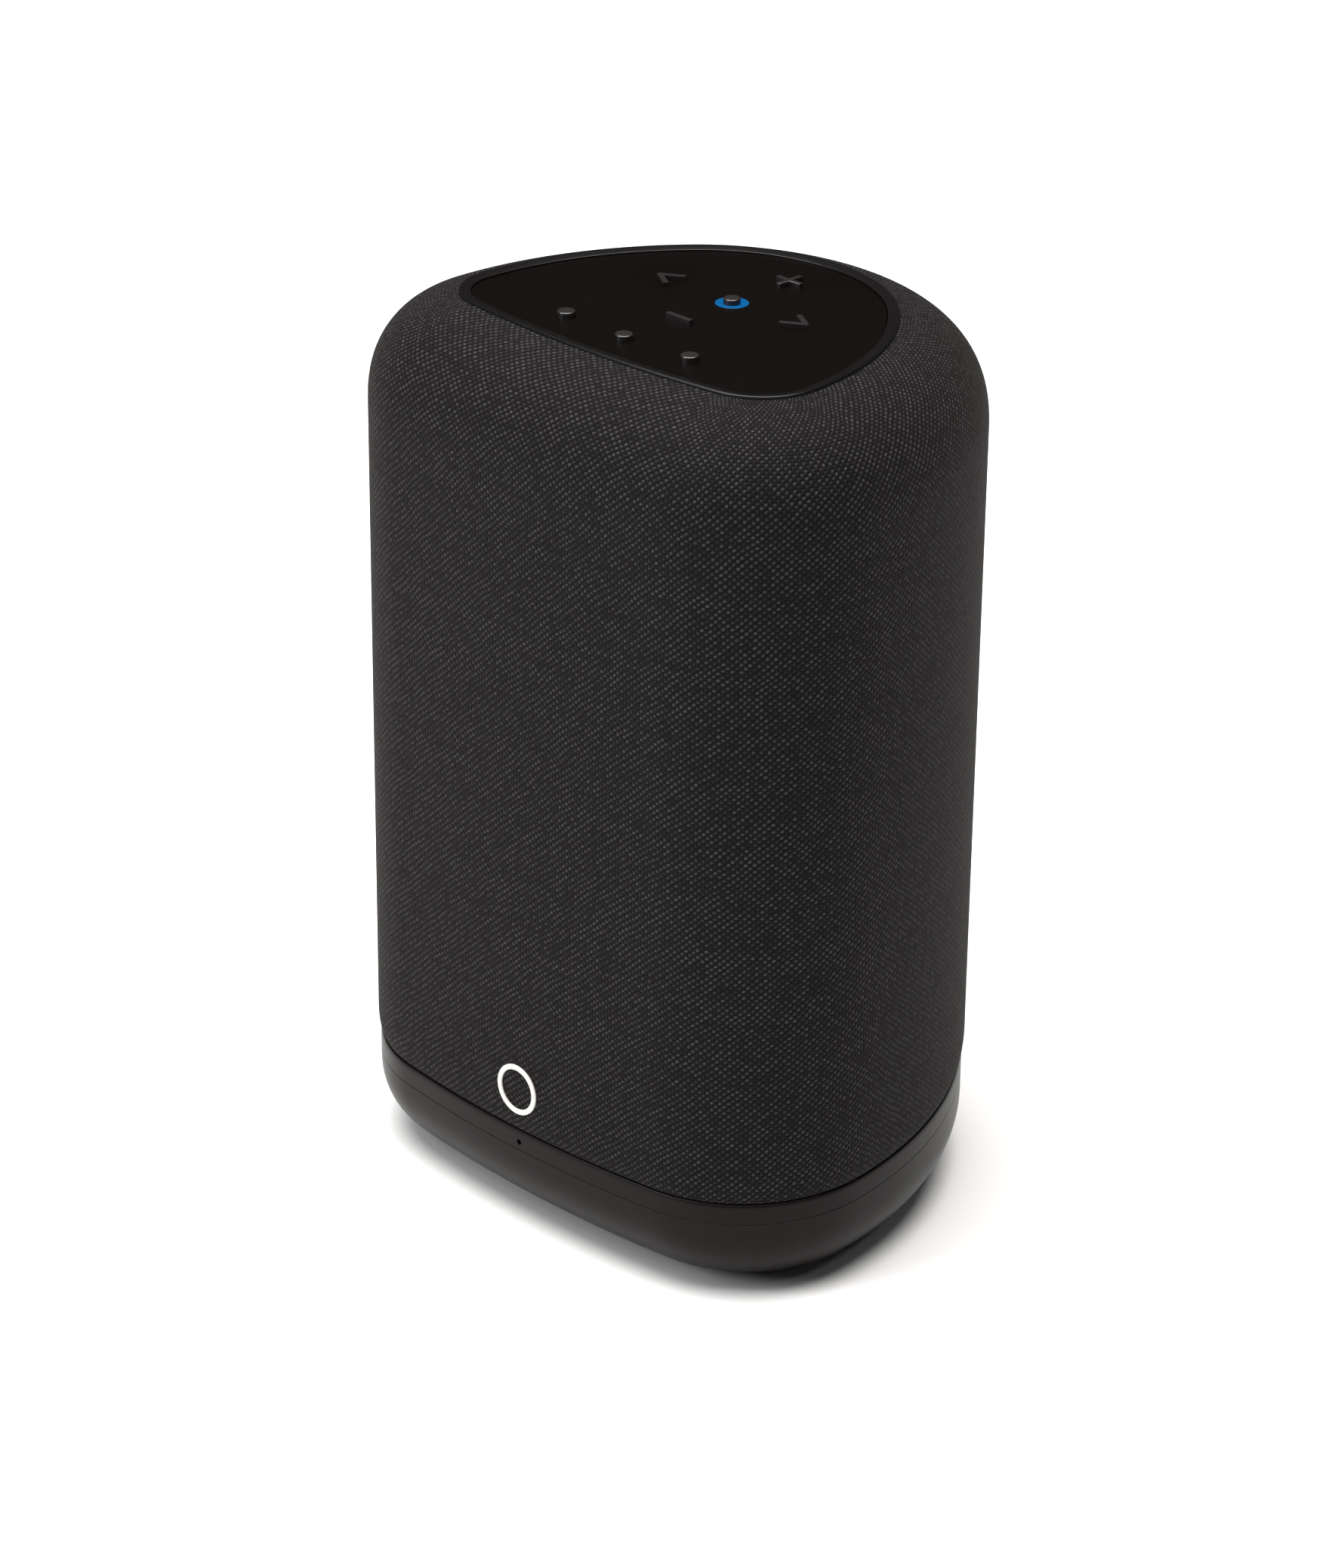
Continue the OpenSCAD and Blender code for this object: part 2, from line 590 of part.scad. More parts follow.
module light_ring() {
  color("deepskyblue") translate([0, play_y, plate_z - 0.6]) difference() {
    cylinder(h = plate_top - plate_z + 0.6, r = light_r);
    translate([0, 0, -1]) cylinder(h = 10, r = play_r + key_gap);
  }
}
// Cap through the plate, flange that keeps it in, and stem into its switch.
module key(index, proud, flange_r, under) {
  translate([key_places[index].x, key_places[index].y, 0]) {
    translate([0, 0, under - 0.5]) linear_extrude(plate_top + proud - under + 0.5) key_hole(index, 0);
    translate([0, 0, under - key_flange_t]) cylinder(h = key_flange_t, r = flange_r);
    translate([0, 0, board_top + switch_h - stem_bite])
      cylinder(h = under - key_flange_t / 2 - board_top - switch_h + stem_bite, r = stem_r);
  }
}
symbol_proud = 0.8;
button_proud = 1;
module play_key() {
  color([0.2, 0.2, 0.2]) key(0, button_proud, play_r + 1.2, flange_top - 0.6);
}
module previous_key() {
  color([0.2, 0.2, 0.2]) key(1, symbol_proud, 5, flange_top);
}
module next_key() {
  color([0.2, 0.2, 0.2]) key(2, symbol_proud, 5, flange_top);
}
module volume_up_key() {
  color([0.2, 0.2, 0.2]) key(3, symbol_proud, stroke_len / 2 + 0.9, flange_top);
}
module volume_down_key() {
  color([0.2, 0.2, 0.2]) key(4, symbol_proud, stroke_len / 2 + 0.9, flange_top);
}
module preset_key(number) {
  color([0.2, 0.2, 0.2]) key(4 + number, button_proud, preset_r + 1.4, flange_top);
}
module preset_key_1() {
  preset_key(1);
}
module preset_key_2() {
  preset_key(2);
}
module preset_key_3() {
  preset_key(3);
}
module keypad_board() {
  color("darkgreen") difference() {
    slab(board_in, board_z, board_top);
    for (p = board_posts) translate([p.x, p.y, board_z - 1]) cylinder(h = 5, r = 1);
  }
}
module key_switches() {
  color([0.3, 0.3, 0.3]) for (p = key_places) translate([p.x, p.y, board_top]) difference() {
    translate([-switch_w / 2, -switch_w / 2, 0]) cube([switch_w, switch_w, switch_h]);
    translate([0, 0, switch_h - stem_bite - key_travel - 0.2]) cylinder(h = 5, r = stem_r + key_gap);
  }
}
module ring_leds() {
  color("lightblue") for (turn = [45:90:315]) translate([0, play_y, board_top]) rotate([0, 0, turn])
    translate([switch_w * 0.8, -0.8, 0]) cube([1.6, 1.6, 0.7]);
}
module keypad_cable() {
  color("orange") translate([-5, main_y - 0.5, main_top - 6]) cube([10, 0.4, board_z - main_top + 6]);
}
module antenna_boards() {
  color("darkgreen") for (side = [-1, 1])
    translate([side * (corner_x + 8) - 0.5, corner_y + 12, lid_top]) cube([1, 20, board_z - lid_top - 0.4]);
}

// ---- electronics inside the cabinet
main_y = max(baffle_y + woofer_depth, 0) + 18;
main_t = 1.6;
main_top = cabinet_top - 9;
main_z = panel_z + panel_h + 2;
main_w = 50;
power_z = cabinet_z + cabinet_wall + 2;
module main_board() {
  color("darkgreen") translate([-main_w / 2, main_y, main_z]) cube([main_w, main_t, main_top - main_z]);
}
module shield_can() {
  color("silver") translate([-16, main_y - 3, main_top - 34]) cube([32, 3, 24]);
}
module heat_sink() {
  color([0.4, 0.4, 0.42]) translate([-19, main_y + main_t, main_z + 6]) {
    cube([38, 2, 40]);
    for (i = [0:7]) translate([i * 5.2, 0, 0]) cube([1.6, 9, 40]);
  }
}
module power_board() {
  color("darkgreen") translate([-30, -20, power_z]) cube([60, 42, 1.6]);
}
module power_parts() {
  color("goldenrod") translate([-24, -14, power_z + 1.6]) cube([18, 16, 8]);
  color("black") for (i = [0:2]) translate([2 + i * 10, 12, power_z + 1.6]) cylinder(h = 9, r = 4);
  color("silver") translate([4, -16, power_z + 1.6]) cube([20, 2.4, 8]);
}

// Round lead through points, as a tube of eight sides.
function tangent_at(path, i) =
  let (a = path[max(i - 1, 0)], b = path[min(i + 1, len(path) - 1)]) (b - a) / norm(b - a);
function lead_ring(path, i, r) =
  let (t = tangent_at(path, i), u = cross(t, [1, 0.3, 0.1]), v = u / norm(u), w = cross(t, v))
  [for (a = [0:45:315]) path[i] + r * (cos(a) * v + sin(a) * w)];
module lead(path, r) {
  n = len(path);
  walls = [for (j = [0:n - 2], i = [0:7]) let (k = (i + 1) % 8, up = j + 1)
    each quad(j * 8 + k, up * 8 + k, up * 8 + i, j * 8 + i)];
  ends = [[for (i = [0:7]) i], [for (i = [7:-1:0]) (n - 1) * 8 + i]];
  polyhedron(points = [for (i = [0:n - 1]) each lead_ring(path, i, r)], faces = concat(walls, ends));
}
// Bowed path that meets the main board square on.
function board_path(from, to, sag) = concat([for (i = [0:10]) let (s = i / 10)
  from + (to - from) * s + sag * 4 * s * (1 - s)], [[to.x, main_y - 0.1, to.z]]);
module speaker_wires() {
  tweeter_back = [4, baffle_y + 14.4, tweeter_z];
  board_front = [22, main_y - 2, main_top - 6];
  woofer_side = [30, baffle_y + 22, woofer_z + 22];
  for (side = [-1, 1]) {
    color("red") lead(board_path([side * tweeter_back.x, tweeter_back.y, tweeter_back.z],
      [side * board_front.x, board_front.y, board_front.z], [0, 0, -3]), 0.8);
    color("white") lead(board_path([side * woofer_side.x, woofer_side.y, woofer_side.z],
      [side * board_front.x, board_front.y, board_front.z - 12], [side * 3, 0, 3]), 0.8);
  }
}

// ---- connectors, all set in the plate of the rear panel
panel_screw_x = panel_w / 2 - 4.2;
panel_screw_z = panel_z + panel_h / 2 + 1.2;
low_row = panel_z + 11;
high_row = panel_z + panel_h - 10.5;
inlet_x = -9.4;
network_x = 10.4;
usb_x = 9.6;
aux_x = -15;
connect_x = -4.6;
connect_r = 2.5;
inlet_pitch = 8.6;
socket_deep = 13.4;
module panel_face(x, z) {
  translate([x, panel_y, z]) children();
}
module rear_panel() {
  color([0.13, 0.13, 0.13]) difference() {
    intersection() {
      translate([-panel_w / 2, panel_back, panel_z]) cube([panel_w, 40, panel_h]);
      slab(0.2, 0, total_h);
    }
    translate([-panel_w / 2 + 1.6, panel_y, panel_z + 1.6]) cube([panel_w - 3.2, 40, panel_h - 3.2]);
    translate([inlet_x - 10, 0, low_row - 6]) cube([20, big, 12]);
    translate([network_x - 8, 0, low_row - 7]) cube([16, big, 14]);
    translate([usb_x - 7.3, 0, high_row - 3.6]) cube([14.6, big, 7.2]);
    panel_face(aux_x, high_row) rotate([-90, 0, 0]) translate([0, 0, -10]) cylinder(h = 40, r = 3.2);
    panel_face(connect_x, high_row) rotate([-90, 0, 0]) translate([0, 0, -10])
      cylinder(h = 40, r = connect_r + key_gap);
    for (side = [-1, 1]) translate([side * panel_screw_x, 0, panel_screw_z]) rotate([-90, 0, 0])
      cylinder(h = big, r = 1.3);
  }
}
module rear_panel_screws() {
  color("silver") for (side = [-1, 1]) translate([side * panel_screw_x, panel_y, panel_screw_z])
    rotate([90, 0, 0]) cross_head_screw(2, 1.2, 1.1, panel_t + rear_pad - 0.5);
}
module connector_board() {
  color("darkgreen") translate([-panel_w / 2 + 4, panel_y - socket_deep - 3.2, panel_z + 3.4])
    cube([panel_w - 8, 1.6, panel_h - 6.8]);
}
module mains_inlet() {
  color("black") panel_face(inlet_x, low_row) difference() {
    union() {
      translate([-10, -socket_deep - 1.6, -6]) cube([20, socket_deep + 1.6, 12]);
      translate([-11, 0, -7]) cube([22, 1.2, 14]);
    }
    rotate([-90, 0, 0]) for (side = [-1, 1])
      translate([side * inlet_pitch / 2, 0, -socket_deep]) cylinder(h = 40, r = 4.1);
    translate([-inlet_pitch / 2, -socket_deep, -3.2]) cube([inlet_pitch, 40, 6.4]);
  }
}
module inlet_pins() {
  color("silver") panel_face(inlet_x, low_row) rotate([-90, 0, 0]) for (side = [-1, 1])
    translate([side * inlet_pitch / 2, 0, -socket_deep]) cylinder(h = 9.5, r = 1.2);
}
module network_socket() {
  color([0.6, 0.6, 0.6]) panel_face(network_x, low_row) difference() {
    translate([-8, -socket_deep - 1.6, -7]) cube([16, socket_deep + 2, 14]);
    translate([-5.9, -socket_deep, -4.6]) cube([11.8, 40, 8]);
    translate([-3, -socket_deep + 4, -5.9]) cube([6, 40, 2]);
  }
}
module usb_socket() {
  color("silver") panel_face(usb_x, high_row) {
    difference() {
      translate([-7.3, -socket_deep - 1.6, -3.6]) cube([14.6, socket_deep + 1.8, 7.2]);
      translate([-6.3, -socket_deep, -2.6]) cube([12.6, 40, 5.2]);
    }
    translate([-5.6, -socket_deep - 0.5, -0.2]) cube([11.2, socket_deep - 1, 2]);
  }
}
module aux_socket() {
  color([0.3, 0.3, 0.3]) panel_face(aux_x, high_row) difference() {
    union() {
      translate([-4, -socket_deep - 1.6, -4]) cube([8, socket_deep + 1.6 - panel_t, 8]);
      rotate([-90, 0, 0]) translate([0, 0, -5]) cylinder(h = 5.8, r = 3.2);
    }
    rotate([-90, 0, 0]) translate([0, 0, -socket_deep]) cylinder(h = 40, r = aux_r);
  }
}
module connect_button() {
  color([0.35, 0.35, 0.36]) panel_face(connect_x, high_row) rotate([-90, 0, 0]) {
    translate([0, 0, -panel_t - 0.8]) cylinder(h = panel_t + 1.1 + connect_travel, r = connect_r);
    translate([0, 0, -panel_t - 1.6]) cylinder(h = 1.4, r = connect_r + 0.8);
  }
}

rubber_foot();
base_tray();
base_screws();
base_collar();
chassis_plate();
microphone_board();
fabric_cover();
grille_frame();
shoulder_frame();
front_badge();
cabinet();
cabinet_seal();
cabinet_lid();
lid_screws();
woofer_gasket();
woofer_basket();
woofer_magnet();
woofer_spider();
woofer_surround();
woofer_cone();
dust_cap();
voice_coil();
woofer_screws();
tweeter_plate();
tweeter_dome();
tweeter_magnet();
tweeter_screws();
keypad_carrier();
bezel_ring();
keypad_plate();
light_ring();
play_key();
previous_key();
next_key();
volume_up_key();
volume_down_key();
preset_key_1();
preset_key_2();
preset_key_3();
keypad_board();
key_switches();
ring_leds();
keypad_cable();
antenna_boards();
main_board();
shield_can();
heat_sink();
power_board();
power_parts();
speaker_wires();
connector_board();
rear_panel();
rear_panel_screws();
mains_inlet();
inlet_pins();
network_socket();
usb_socket();
aux_socket();
connect_button();
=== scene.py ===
import math

import bmesh
import bpy
from mathutils import Matrix, Vector


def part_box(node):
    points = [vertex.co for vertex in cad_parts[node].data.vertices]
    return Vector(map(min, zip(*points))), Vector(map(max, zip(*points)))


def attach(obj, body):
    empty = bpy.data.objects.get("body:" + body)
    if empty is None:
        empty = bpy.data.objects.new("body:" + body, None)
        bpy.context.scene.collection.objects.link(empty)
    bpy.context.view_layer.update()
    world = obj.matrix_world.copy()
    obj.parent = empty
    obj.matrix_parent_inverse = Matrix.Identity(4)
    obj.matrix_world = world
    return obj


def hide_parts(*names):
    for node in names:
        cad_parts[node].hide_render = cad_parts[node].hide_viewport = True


# Fabric-covered wireless speaker with a keypad on top and its sockets at the back.
# The CAD frame gives the sizes; this script builds the smooth shells and the finishes round it.
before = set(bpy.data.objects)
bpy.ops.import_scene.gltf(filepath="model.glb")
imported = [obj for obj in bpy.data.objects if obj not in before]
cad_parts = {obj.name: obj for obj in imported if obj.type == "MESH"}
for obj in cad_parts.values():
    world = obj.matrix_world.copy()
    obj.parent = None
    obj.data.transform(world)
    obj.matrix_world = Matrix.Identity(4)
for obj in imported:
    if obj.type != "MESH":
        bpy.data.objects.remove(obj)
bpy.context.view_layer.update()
mm = 0.001
scene = bpy.context.scene


# small helpers for node trees and meshes
def feed(tree, socket, value):
    if isinstance(value, bpy.types.NodeSocket):
        tree.links.new(value, socket)
    else:
        socket.default_value = value


def addNode(tree, kind, inputs=None, **settings):
    node = tree.nodes.new(kind)
    for key, value in settings.items():
        setattr(node, key, value)
    for key, value in (inputs or {}).items():
        feed(tree, node.inputs[key], value)
    return node


def calc(tree, operation, *values):
    node = addNode(tree, "ShaderNodeMath", operation=operation)
    for socket, value in zip(node.inputs, values):
        feed(tree, socket, value)
    return node.outputs[0]


def vectorCalc(tree, operation, a, b):
    node = addNode(tree, "ShaderNodeVectorMath", {0: a}, operation=operation)
    feed(tree, node.inputs["Scale" if operation == "SCALE" else 1], b)
    return node.outputs[0]


def mixColour(tree, factor, a, b):
    return addNode(tree, "ShaderNodeMix", {0: factor, 6: a, 7: b}, data_type="RGBA").outputs[2]


def remap(tree, value, low, high, newLow, newHigh):
    return addNode(tree, "ShaderNodeMapRange", {0: value, 1: low, 2: high, 3: newLow, 4: newHigh}).outputs[0]


def noiseOf(tree, place, scale, detail=2.0):
    return addNode(tree, "ShaderNodeTexNoise", {"Vector": place, "Scale": scale, "Detail": detail}).outputs[0]


def rgb(colour, share=1.0):
    return tuple(min(part * share, 1.0) for part in colour) + (1.0,)


def evaluatedMesh(piece):
    graph = bpy.context.evaluated_depsgraph_get()
    return bpy.data.meshes.new_from_object(
        piece.evaluated_get(graph), preserve_all_data_layers=True, depsgraph=graph)


def newPiece(name, mesh, material=None):
    piece = bpy.data.objects.new(name, mesh)
    scene.collection.objects.link(piece)
    if material:
        piece.data.materials.clear()
        piece.data.materials.append(material)
    return piece


def settle(piece, sharpAngle=35):
    mesh = evaluatedMesh(piece)
    piece.modifiers.clear()
    piece.data = mesh
    mesh.shade_smooth()
    mesh.set_sharp_from_angle(angle=math.radians(sharpAngle))
    return piece


def cutWith(piece, tool, operation="DIFFERENCE"):
    modifier = piece.modifiers.new("cut", "BOOLEAN")
    modifier.object = tool
    modifier.operation = operation
    modifier.solver = "EXACT"
    finish = next((material for material in piece.data.materials if material), None)
    settle(piece)
    piece.data.materials.clear()
    if finish:
        piece.data.materials.append(finish)
    bpy.data.objects.remove(tool)
    return piece


def meshFrom(name, points, faces):
    mesh = bpy.data.meshes.new(name)
    mesh.from_pydata([tuple(p) for p in points], [], faces)
    mesh.update()
    return mesh


def turnedMesh(name, profile, place, steps=64):
    # profile is a closed loop of (radius, height); place is a matrix
    count = len(profile)
    points = []
    for i in range(steps):
        angle = 2 * math.pi * i / steps
        points += [place @ Vector((r * math.cos(angle), r * math.sin(angle), h)) for r, h in profile]
    faces = []
    for i in range(steps):
        near, far = i * count, (i + 1) % steps * count
        faces += [(near + j, far + j, far + (j + 1) % count, near + (j + 1) % count) for j in range(count)]
    return meshFrom(name, points, faces)


def drum(name, radius, place, low, high, steps=48):
    # closed cylinder along the Z of place
    rim = [(math.cos(2 * math.pi * i / steps) * radius, math.sin(2 * math.pi * i / steps) * radius)
           for i in range(steps)]
    points = [place @ Vector((x, y, low)) for x, y in rim] + [place @ Vector((x, y, high)) for x, y in rim]
    faces = [(i, (i + 1) % steps, steps + (i + 1) % steps, steps + i) for i in range(steps)]
    faces += [tuple(range(steps - 1, -1, -1)), tuple(range(steps, 2 * steps))]
    return newPiece(name, meshFrom(name, points, faces))


# camera, light and floor
view = {
    "azimuth": 43.349,       # degrees round from the front
    "elevation": 25.462,
    "distance": 0.9644,
    "lens": 110.67,
    "roll": 0.021,           # radians
    "aim": (0.012741, -0.010686, 0.0915),   # to the right, up, and height above the table
    "shift": (-0.0668, 0.0050),
}


def placeCamera():
    a, e = math.radians(view["azimuth"]), math.radians(view["elevation"])
    ahead = Vector((-math.sin(a) * math.cos(e), math.cos(a) * math.cos(e), -math.sin(e)))
    right = Vector((math.cos(a), math.sin(a), 0))
    up = right.cross(ahead)
    target = Vector((0, 0, view["aim"][2])) + right * view["aim"][0] + up * view["aim"][1]
    c, s = math.cos(view["roll"]), math.sin(view["roll"])
    turned = Matrix((right * c + up * s, up * c - right * s, -ahead)).transposed()
    camera = bpy.data.objects.new("camera", bpy.data.cameras.new("camera"))
    camera.data.lens = view["lens"]
    camera.data.sensor_width = 36
    camera.data.shift_x, camera.data.shift_y = view["shift"]
    camera.matrix_world = Matrix.Translation(target - ahead * view["distance"]) @ turned.to_4x4()
    scene.collection.objects.link(camera)
    scene.camera = camera


studio = {
    "lights": (   # name, place, size, watts, colour
        ("topSoftbox", (-0.04, -0.06, 1.3), 1.5, 41, (1.0, 0.985, 0.97)),
        ("leftSoftbox", (-0.55, -1.25, 0.75), 0.7, 9, (0.97, 0.98, 1.0)),
        ("frontSpot", (-0.25, -0.9, 1.1), 0.2, 1.6, (1.0, 1.0, 1.0)),
        ("rightSpot", (0.95, 0.05, 1.1), 0.15, 0.6, (1.0, 1.0, 1.0)),
    ),
    "aim": (0, 0, 0.08),
    "world": 0.03,
    "floor": (0.93, 0.93, 0.925),
}


def lightStudio():
    for name, place, size, watts, colour in studio["lights"]:
        light = bpy.data.lights.new(name, "AREA")
        light.shape = "DISK"
        light.size, light.energy, light.color = size, watts, colour
        lamp = bpy.data.objects.new(name, light)
        lamp.location = place
        lamp.rotation_euler = (Vector(studio["aim"]) - lamp.location).to_track_quat("-Z", "Y").to_euler()
        scene.collection.objects.link(lamp)
    world = bpy.data.worlds.new("studioWorld")
    world.use_nodes = True
    world.node_tree.nodes["Background"].inputs[0].default_value = (1, 1, 1, 1)
    world.node_tree.nodes["Background"].inputs[1].default_value = studio["world"]
    scene.world = world
    scene.view_settings.view_transform = "Standard"


def layFloor():
    material, tree, shader = newMaterial("floorPaint")
    place = addNode(tree, "ShaderNodeTexCoord").outputs["Object"]
    tone = noiseOf(tree, place, 3)
    feed(tree, shader.inputs["Base Color"],
         mixColour(tree, tone, rgb(studio["floor"], 0.99), rgb(studio["floor"])))
    shader.inputs["Roughness"].default_value = 0.9
    shader.inputs["Specular IOR Level"].default_value = 0.1
    half = 6
    corners = [(-half, -half, 0), (half, -half, 0), (half, half, 0), (-half, half, 0)]
    mesh = meshFrom("floor", corners, [(0, 1, 2, 3)])
    newPiece("floor", mesh, material)


# finishes
def newMaterial(name):
    material = bpy.data.materials.new(name)
    material.use_nodes = True
    tree = material.node_tree
    return material, tree, tree.nodes["Principled BSDF"]


def addBump(tree, shader, height, depth, strength=1.0):
    bump = addNode(tree, "ShaderNodeBump", {"Height": height, "Distance": depth, "Strength": strength})
    tree.links.new(bump.outputs[0], shader.inputs["Normal"])


def mouldedPlastic(name, colour, roughness=0.45, grain=0.3, depth=0.02, specular=0.5, coat=0.0):
    # grain is the size of the mould texture and depth its height, in millimetres
    material, tree, shader = newMaterial(name)
    place = addNode(tree, "ShaderNodeTexCoord").outputs["Object"]
    fine = noiseOf(tree, place, 1 / (grain * mm), 3)
    broad = noiseOf(tree, place, 45, 4)
    feed(tree, shader.inputs["Base Color"], mixColour(tree, broad, rgb(colour, 0.86), rgb(colour, 1.14)))
    mottle = calc(tree, "ADD", calc(tree, "MULTIPLY", fine, 0.6), calc(tree, "MULTIPLY", broad, 0.4))
    feed(tree, shader.inputs["Roughness"], remap(tree, mottle, 0.3, 0.7, roughness * 0.88, roughness * 1.12))
    shader.inputs["Specular IOR Level"].default_value = specular
    shader.inputs["Coat Weight"].default_value = coat
    addBump(tree, shader, fine, depth * mm)
    return material


def metalFinish(name, colour, roughness=0.32, brush=(1, 1, 1), scratch=0.01):
    # brush stretches the grain of the surface along an axis
    material, tree, shader = newMaterial(name)
    place = addNode(tree, "ShaderNodeTexCoord").outputs["Object"]
    drawn = addNode(tree, "ShaderNodeMapping", {"Vector": place, "Scale": brush}).outputs[0]
    lines = noiseOf(tree, drawn, 2600, 4)
    cloud = noiseOf(tree, place, 160, 3)
    feed(tree, shader.inputs["Base Color"], mixColour(tree, cloud, rgb(colour, 0.82), rgb(colour, 1.1)))
    shader.inputs["Metallic"].default_value = 1.0
    feed(tree, shader.inputs["Roughness"], remap(tree, lines, 0.3, 0.7, roughness * 0.8, roughness * 1.25))
    addBump(tree, shader, lines, scratch * mm)
    return material


def rubberFinish(name, colour, roughness=0.75, pore=0.5):
    material, tree, shader = newMaterial(name)
    place = addNode(tree, "ShaderNodeTexCoord").outputs["Object"]
    pores = addNode(tree, "ShaderNodeTexVoronoi", {"Vector": place, "Scale": 1 / (pore * mm)}).outputs[0]
    dust = noiseOf(tree, place, 220, 4)
    feed(tree, shader.inputs["Base Color"], mixColour(tree, dust, rgb(colour, 0.8), rgb(colour, 1.35)))
    feed(tree, shader.inputs["Roughness"], remap(tree, dust, 0.3, 0.7, roughness * 0.9, roughness * 1.1))
    addBump(tree, shader, pores, 0.03 * mm, 0.6)
    return material


weave = {
    "warpPitch": 0.806,      # millimetres across one thread
    "weftPitch": 0.705,
    "lean": 0.3,             # how far each float leans to the side
    "dark": (0.0016, 0.0011, 0.0010),
    "light": (0.051, 0.048, 0.051),
    "dull": 0.12,            # brightness of the dullest float
    "depth": 0.16,           # millimetres between a thread's crown and the gaps
}


def wovenCloth(name):
    # plain weave: grey warp floats and near-black weft floats take turns, like a chequerboard
    material, tree, shader = newMaterial(name)
    uv = addNode(tree, "ShaderNodeUVMap", uv_map="UVMap").outputs[0]
    drift = addNode(tree, "ShaderNodeTexNoise",
                    {"Vector": uv, "Scale": 130.0, "Detail": 1.0}).outputs["Color"]
    drift = vectorCalc(tree, "SCALE", vectorCalc(tree, "SUBTRACT", drift, (0.5, 0.5, 0.5)), 0.0011)
    split = addNode(tree, "ShaderNodeSeparateXYZ", {0: vectorCalc(tree, "ADD", uv, drift)})
    across = calc(tree, "DIVIDE", split.outputs[0], weave["warpPitch"] * mm)
    along = calc(tree, "DIVIDE", split.outputs[1], weave["weftPitch"] * mm)
    column, row = calc(tree, "FLOOR", across), calc(tree, "FLOOR", along)
    dx = remap(tree, calc(tree, "SUBTRACT", across, column), 0.0, 1.0, -1.0, 1.0)
    dy = remap(tree, calc(tree, "SUBTRACT", along, row), 0.0, 1.0, -1.0, 1.0)
    warpUp = calc(tree, "FLOORED_MODULO", calc(tree, "ADD", column, row), 2.0)
    leaning = calc(tree, "SUBTRACT", dx, calc(tree, "MULTIPLY", dy, weave["lean"]))
    spread = calc(tree, "ADD", calc(tree, "POWER", calc(tree, "ABSOLUTE", leaning), 2.4),
                  calc(tree, "POWER", calc(tree, "ABSOLUTE", dy), 2.8))
    crown = remap(tree, spread, 1.0, 0.15, 0.0, 1.0)
    cell = addNode(tree, "ShaderNodeCombineXYZ", {0: column, 1: row}).outputs[0]
    chance = addNode(tree, "ShaderNodeTexWhiteNoise", {"Vector": cell}, noise_dimensions="2D").outputs[0]
    threadTone = addNode(tree, "ShaderNodeTexWhiteNoise", {"W": row}, noise_dimensions="1D").outputs[0]
    patchTone = noiseOf(tree, uv, 260, 3)
    tone = calc(tree, "ADD", calc(tree, "MULTIPLY", chance, 0.55),
                calc(tree, "ADD", calc(tree, "MULTIPLY", threadTone, 0.15),
                     calc(tree, "MULTIPLY", patchTone, 0.3)))
    bright = remap(tree, tone, 0.2, 0.85, weave["dull"], 1.0)
    fibre = noiseOf(tree, uv, 9000, 2)
    shown = calc(tree, "MULTIPLY", calc(tree, "MULTIPLY", warpUp, crown), bright)
    shown = calc(tree, "MULTIPLY", shown, remap(tree, fibre, 0.3, 0.7, 0.75, 1.15))
    feed(tree, shader.inputs["Base Color"], mixColour(tree, shown, rgb(weave["dark"]), rgb(weave["light"])))
    feed(tree, shader.inputs["Roughness"], remap(tree, fibre, 0.3, 0.7, 0.72, 0.9))
    shader.inputs["Specular IOR Level"].default_value = 0.15
    shader.inputs["Sheen Weight"].default_value = 0.02
    shader.inputs["Sheen Roughness"].default_value = 0.45
    shader.inputs["Sheen Tint"].default_value = (0.75, 0.62, 0.52, 1)
    height = calc(tree, "MULTIPLY", crown, remap(tree, warpUp, 0.0, 1.0, 0.55, 1.0))
    addBump(tree, shader, calc(tree, "ADD", height, calc(tree, "MULTIPLY", fibre, 0.12)), weave["depth"] * mm)
    return material


def circuitBoard(name, mask=(0.012, 0.085, 0.03)):
    # solder mask with raised copper tracks under it
    material, tree, shader = newMaterial(name)
    place = addNode(tree, "ShaderNodeTexCoord").outputs["Object"]
    tracks = addNode(tree, "ShaderNodeTexBrick", {"Vector": place, "Scale": 260.0, "Mortar Size": 0.028,
                     "Color1": (0, 0, 0, 1), "Color2": (0, 0, 0, 1), "Mortar": (1, 1, 1, 1)}, offset=0.37)
    track = tracks.outputs[0]
    pads = addNode(tree, "ShaderNodeTexVoronoi", {"Vector": place, "Scale": 230.0}).outputs[0]
    pad = remap(tree, pads, 0.16, 0.12, 0.0, 1.0)
    green = mixColour(tree, track, rgb(mask), rgb(mask, 2.1))
    feed(tree, shader.inputs["Base Color"], mixColour(tree, pad, green, (0.55, 0.53, 0.46, 1)))
    feed(tree, shader.inputs["Metallic"], pad)
    feed(tree, shader.inputs["Roughness"], remap(tree, noiseOf(tree, place, 500), 0.3, 0.7, 0.22, 0.36))
    addBump(tree, shader, track, 0.03 * mm)
    return material


